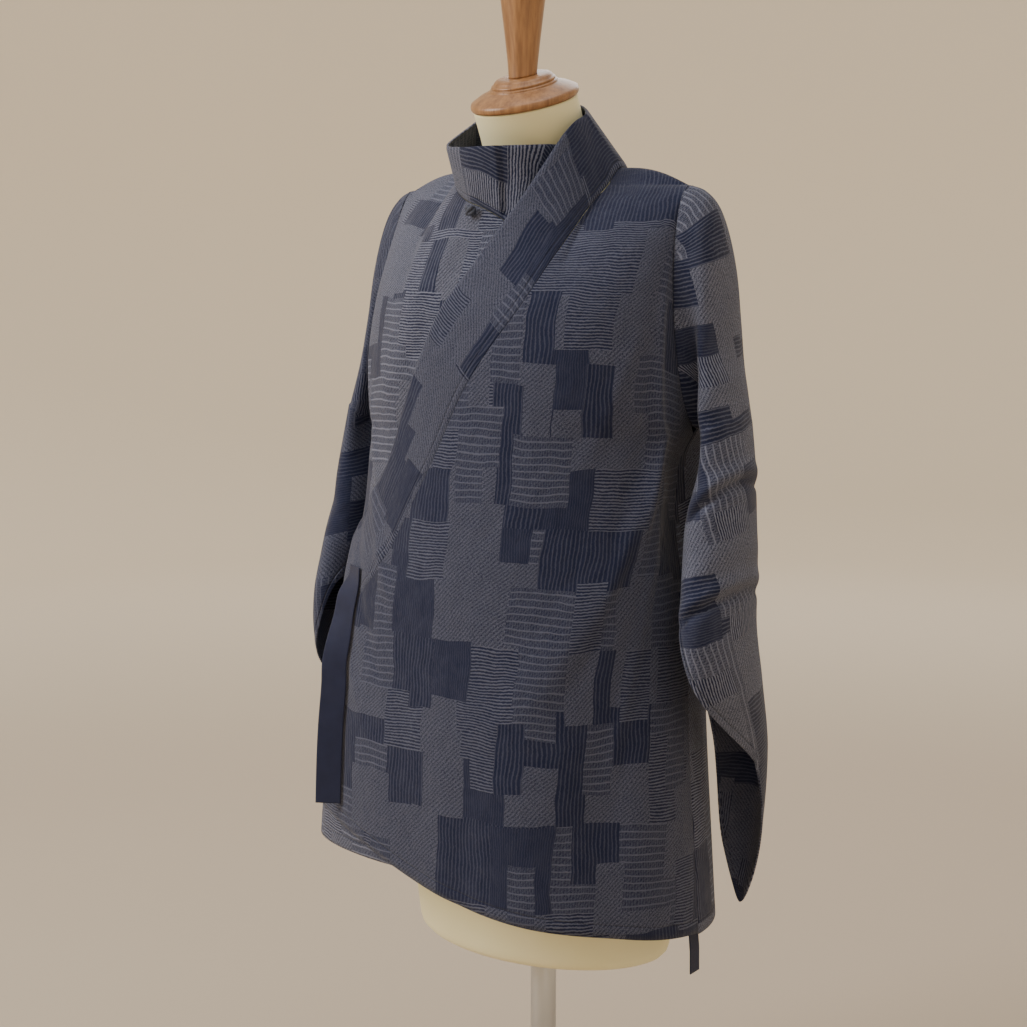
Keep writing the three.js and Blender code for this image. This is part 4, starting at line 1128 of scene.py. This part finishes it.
def turned_wood(name, upright):
    s = Shader(name)
    here = s.node("ShaderNodeTexCoord").outputs["Object"]
    x, y, z = s.separate(here)
    if not upright:
        x, z = z, x
    grain = s.noise(s.scaled(x, y, z, 60.0, 5.0), 2.2, 5.0, 0.6)
    lines = s.noise(s.scaled(x, y, z, 420.0, 12.0), 1.0, 2.0)
    tone = s.math("MULTIPLY_ADD", lines, 0.35, s.math("MULTIPLY", grain, 0.8))
    colour = s.mix(s.step(tone, 0.3, 0.85), (0.20, 0.085, 0.028, 1), (0.43, 0.215, 0.085, 1))
    rough = s.math("MULTIPLY_ADD", grain, 0.14, 0.34)
    normal = s.bump(lines, 0.0002, 0.35)
    return s.finish(Base_Color=colour, Roughness=rough, Normal=normal, Coat_Weight=0.25, Coat_Roughness=0.28)


def brushed_steel():
    s = Shader("Brushed_steel")
    here = s.node("ShaderNodeTexCoord").outputs["Object"]
    x, y, z = s.separate(here)
    lines = s.noise(s.scaled(x, y, z, 30.0, 2600.0), 1.0, 2.0)
    rough = s.math("MULTIPLY_ADD", lines, 0.16, 0.26)
    normal = s.bump(lines, 0.0001, 0.3)
    return s.finish(Base_Color=(0.56, 0.57, 0.59, 1), Metallic=1.0, Roughness=rough, Normal=normal)


# ---- Studio ----
def studio():
    turn = np.linspace(0, 2 * math.pi, 96, endpoint=False)
    bend = np.linspace(0, math.pi / 2, 14)
    radius = np.concatenate([[0.4, 1.5, 3.0], 4.2 + 1.4 * np.sin(bend), [5.6]])
    height = np.concatenate([[0, 0, 0], 1.4 - 1.4 * np.cos(bend), [5.0]])
    rings = stack(radius[:, None] * np.cos(turn), radius[:, None] * np.sin(turn), height[:, None]) / MM
    index = np.arange(len(radius) * len(turn)).reshape(len(radius), len(turn))
    turned = np.roll(index, -1, axis=1)
    quads = np.stack([index[:-1], index[1:], turned[1:], turned[:-1]], axis=-1).reshape(-1, 4).tolist()
    mesh = bpy.data.meshes.new("backdrop")
    mesh.from_pydata((rings.reshape(-1, 3) * MM).tolist(), [], quads + [index[0].tolist()])
    mesh.polygons.foreach_set("use_smooth", np.ones(len(mesh.polygons), bool))
    backdrop = bpy.data.objects.new("backdrop", mesh)
    bpy.context.collection.objects.link(backdrop)
    s = Shader("Backdrop_paint")
    here = s.node("ShaderNodeTexCoord").outputs["Object"]
    x, y, _ = s.separate(here)
    away = s.math("SQRT", s.math("ADD", s.math("MULTIPLY", x, x), s.math("MULTIPLY", y, y)))
    # painted shade: the floor is painted darker towards the middle, brightening from 1.6 m out to the wall's
    # colour at 4.6 m, so the lower background reads darker
    paint_with_floor_shade = s.mix(s.step(away, 1.6, 4.6), (0.52, 0.43, 0.33, 1), (0.94, 0.835, 0.675, 1))
    colour = s.mix(s.math("MULTIPLY", s.noise(here, 1.2, 3.0), 0.12), paint_with_floor_shade, (0.70, 0.62, 0.51, 1))
    backdrop.data.materials.append(s.finish(Base_Color=colour, Roughness=0.95, Specular_IOR_Level=0.1))
    backdrop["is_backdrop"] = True


def lamp(name, place, target, size, power, colour=(1, 1, 1)):
    light = bpy.data.lights.new(name, "AREA")
    light.shape = "SQUARE"
    light.size = size
    light.energy = power
    light.color = colour
    made = bpy.data.objects.new(name, light)
    made.location = place
    way = np.array(target, float) - np.array(place, float)
    flat = math.hypot(way[0], way[1])
    made.rotation_euler = (math.atan2(flat, -way[2]), 0, math.atan2(way[1], way[0]) - math.pi / 2)
    bpy.context.collection.objects.link(made)


def lights():
    world = bpy.data.worlds.new("Soft_room")
    world.use_nodes = True
    background = world.node_tree.nodes["Background"]
    background.inputs["Color"].default_value = (1.0, 0.97, 0.93, 1)
    background.inputs["Strength"].default_value = 0.5
    bpy.context.scene.world = world
    lamp("Key", (-2.3, -2.6, 2.9), (0, 0, 0.85), 2.0, 125, (1, 0.985, 0.96))
    lamp("Fill", (3.1, -1.8, 2.2), (0, 0, 0.8), 2.2, 6, (0.97, 0.985, 1))
    lamp("Back", (-1.2, 3.0, 2.8), (0, 0, 0.9), 2.2, 42)
    lamp("Top", (0.2, -0.2, 4.2), (0, 0, 0), 2.4, 36)


CAMERA = {"azimuth": 35, "distance": 2.0, "height": 1.032, "pitch": 8.04, "aside": -0.033}
IMAGE_WIDTH, FOCAL_PIXELS = 1027, 1900


def camera():
    azimuth = math.radians(CAMERA["azimuth"])
    right = np.array((math.cos(azimuth), math.sin(azimuth), 0))
    ahead = np.array((-math.sin(azimuth), math.cos(azimuth), 0))
    place = right * CAMERA["aside"] - ahead * CAMERA["distance"] + (0, 0, CAMERA["height"])
    data = bpy.data.cameras.new("Camera")
    data.sensor_width = 36
    data.lens = data.sensor_width * FOCAL_PIXELS / IMAGE_WIDTH
    made = bpy.data.objects.new("Camera", data)
    made.location = place
    made.rotation_euler = (math.radians(90 - CAMERA["pitch"]), 0, azimuth)
    bpy.context.collection.objects.link(made)
    bpy.context.scene.camera = made


# ---- The scene ----
camera()
# painted shade: the wrong side, which faces the inside of the garment, is a darker copy of the patchwork with
# its light yarn halved
cloth = (patchwork("Patchwork_cloth"), patchwork("Patchwork_wrong_side_shaded", darker=0.5))
navy = tape()
outer_front(cloth)
under_front(cloth)
back(cloth)
collar_outer(cloth)
collar_inner(cloth)
sleeve(1, cloth)
sleeve(-1, cloth)
collar_knot(cord_cloth())
outer_tie(navy)
inner_tie(navy)
form(cover_cloth())
neck_block(turned_wood("Turned_wood", True))
stand(turned_wood("Base_wood", False), brushed_steel())
studio()
lights()

boxes = {"cad": cad_box, "scene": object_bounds()}
{name: [list(corner) for corner in box] for name, box in boxes.items()}
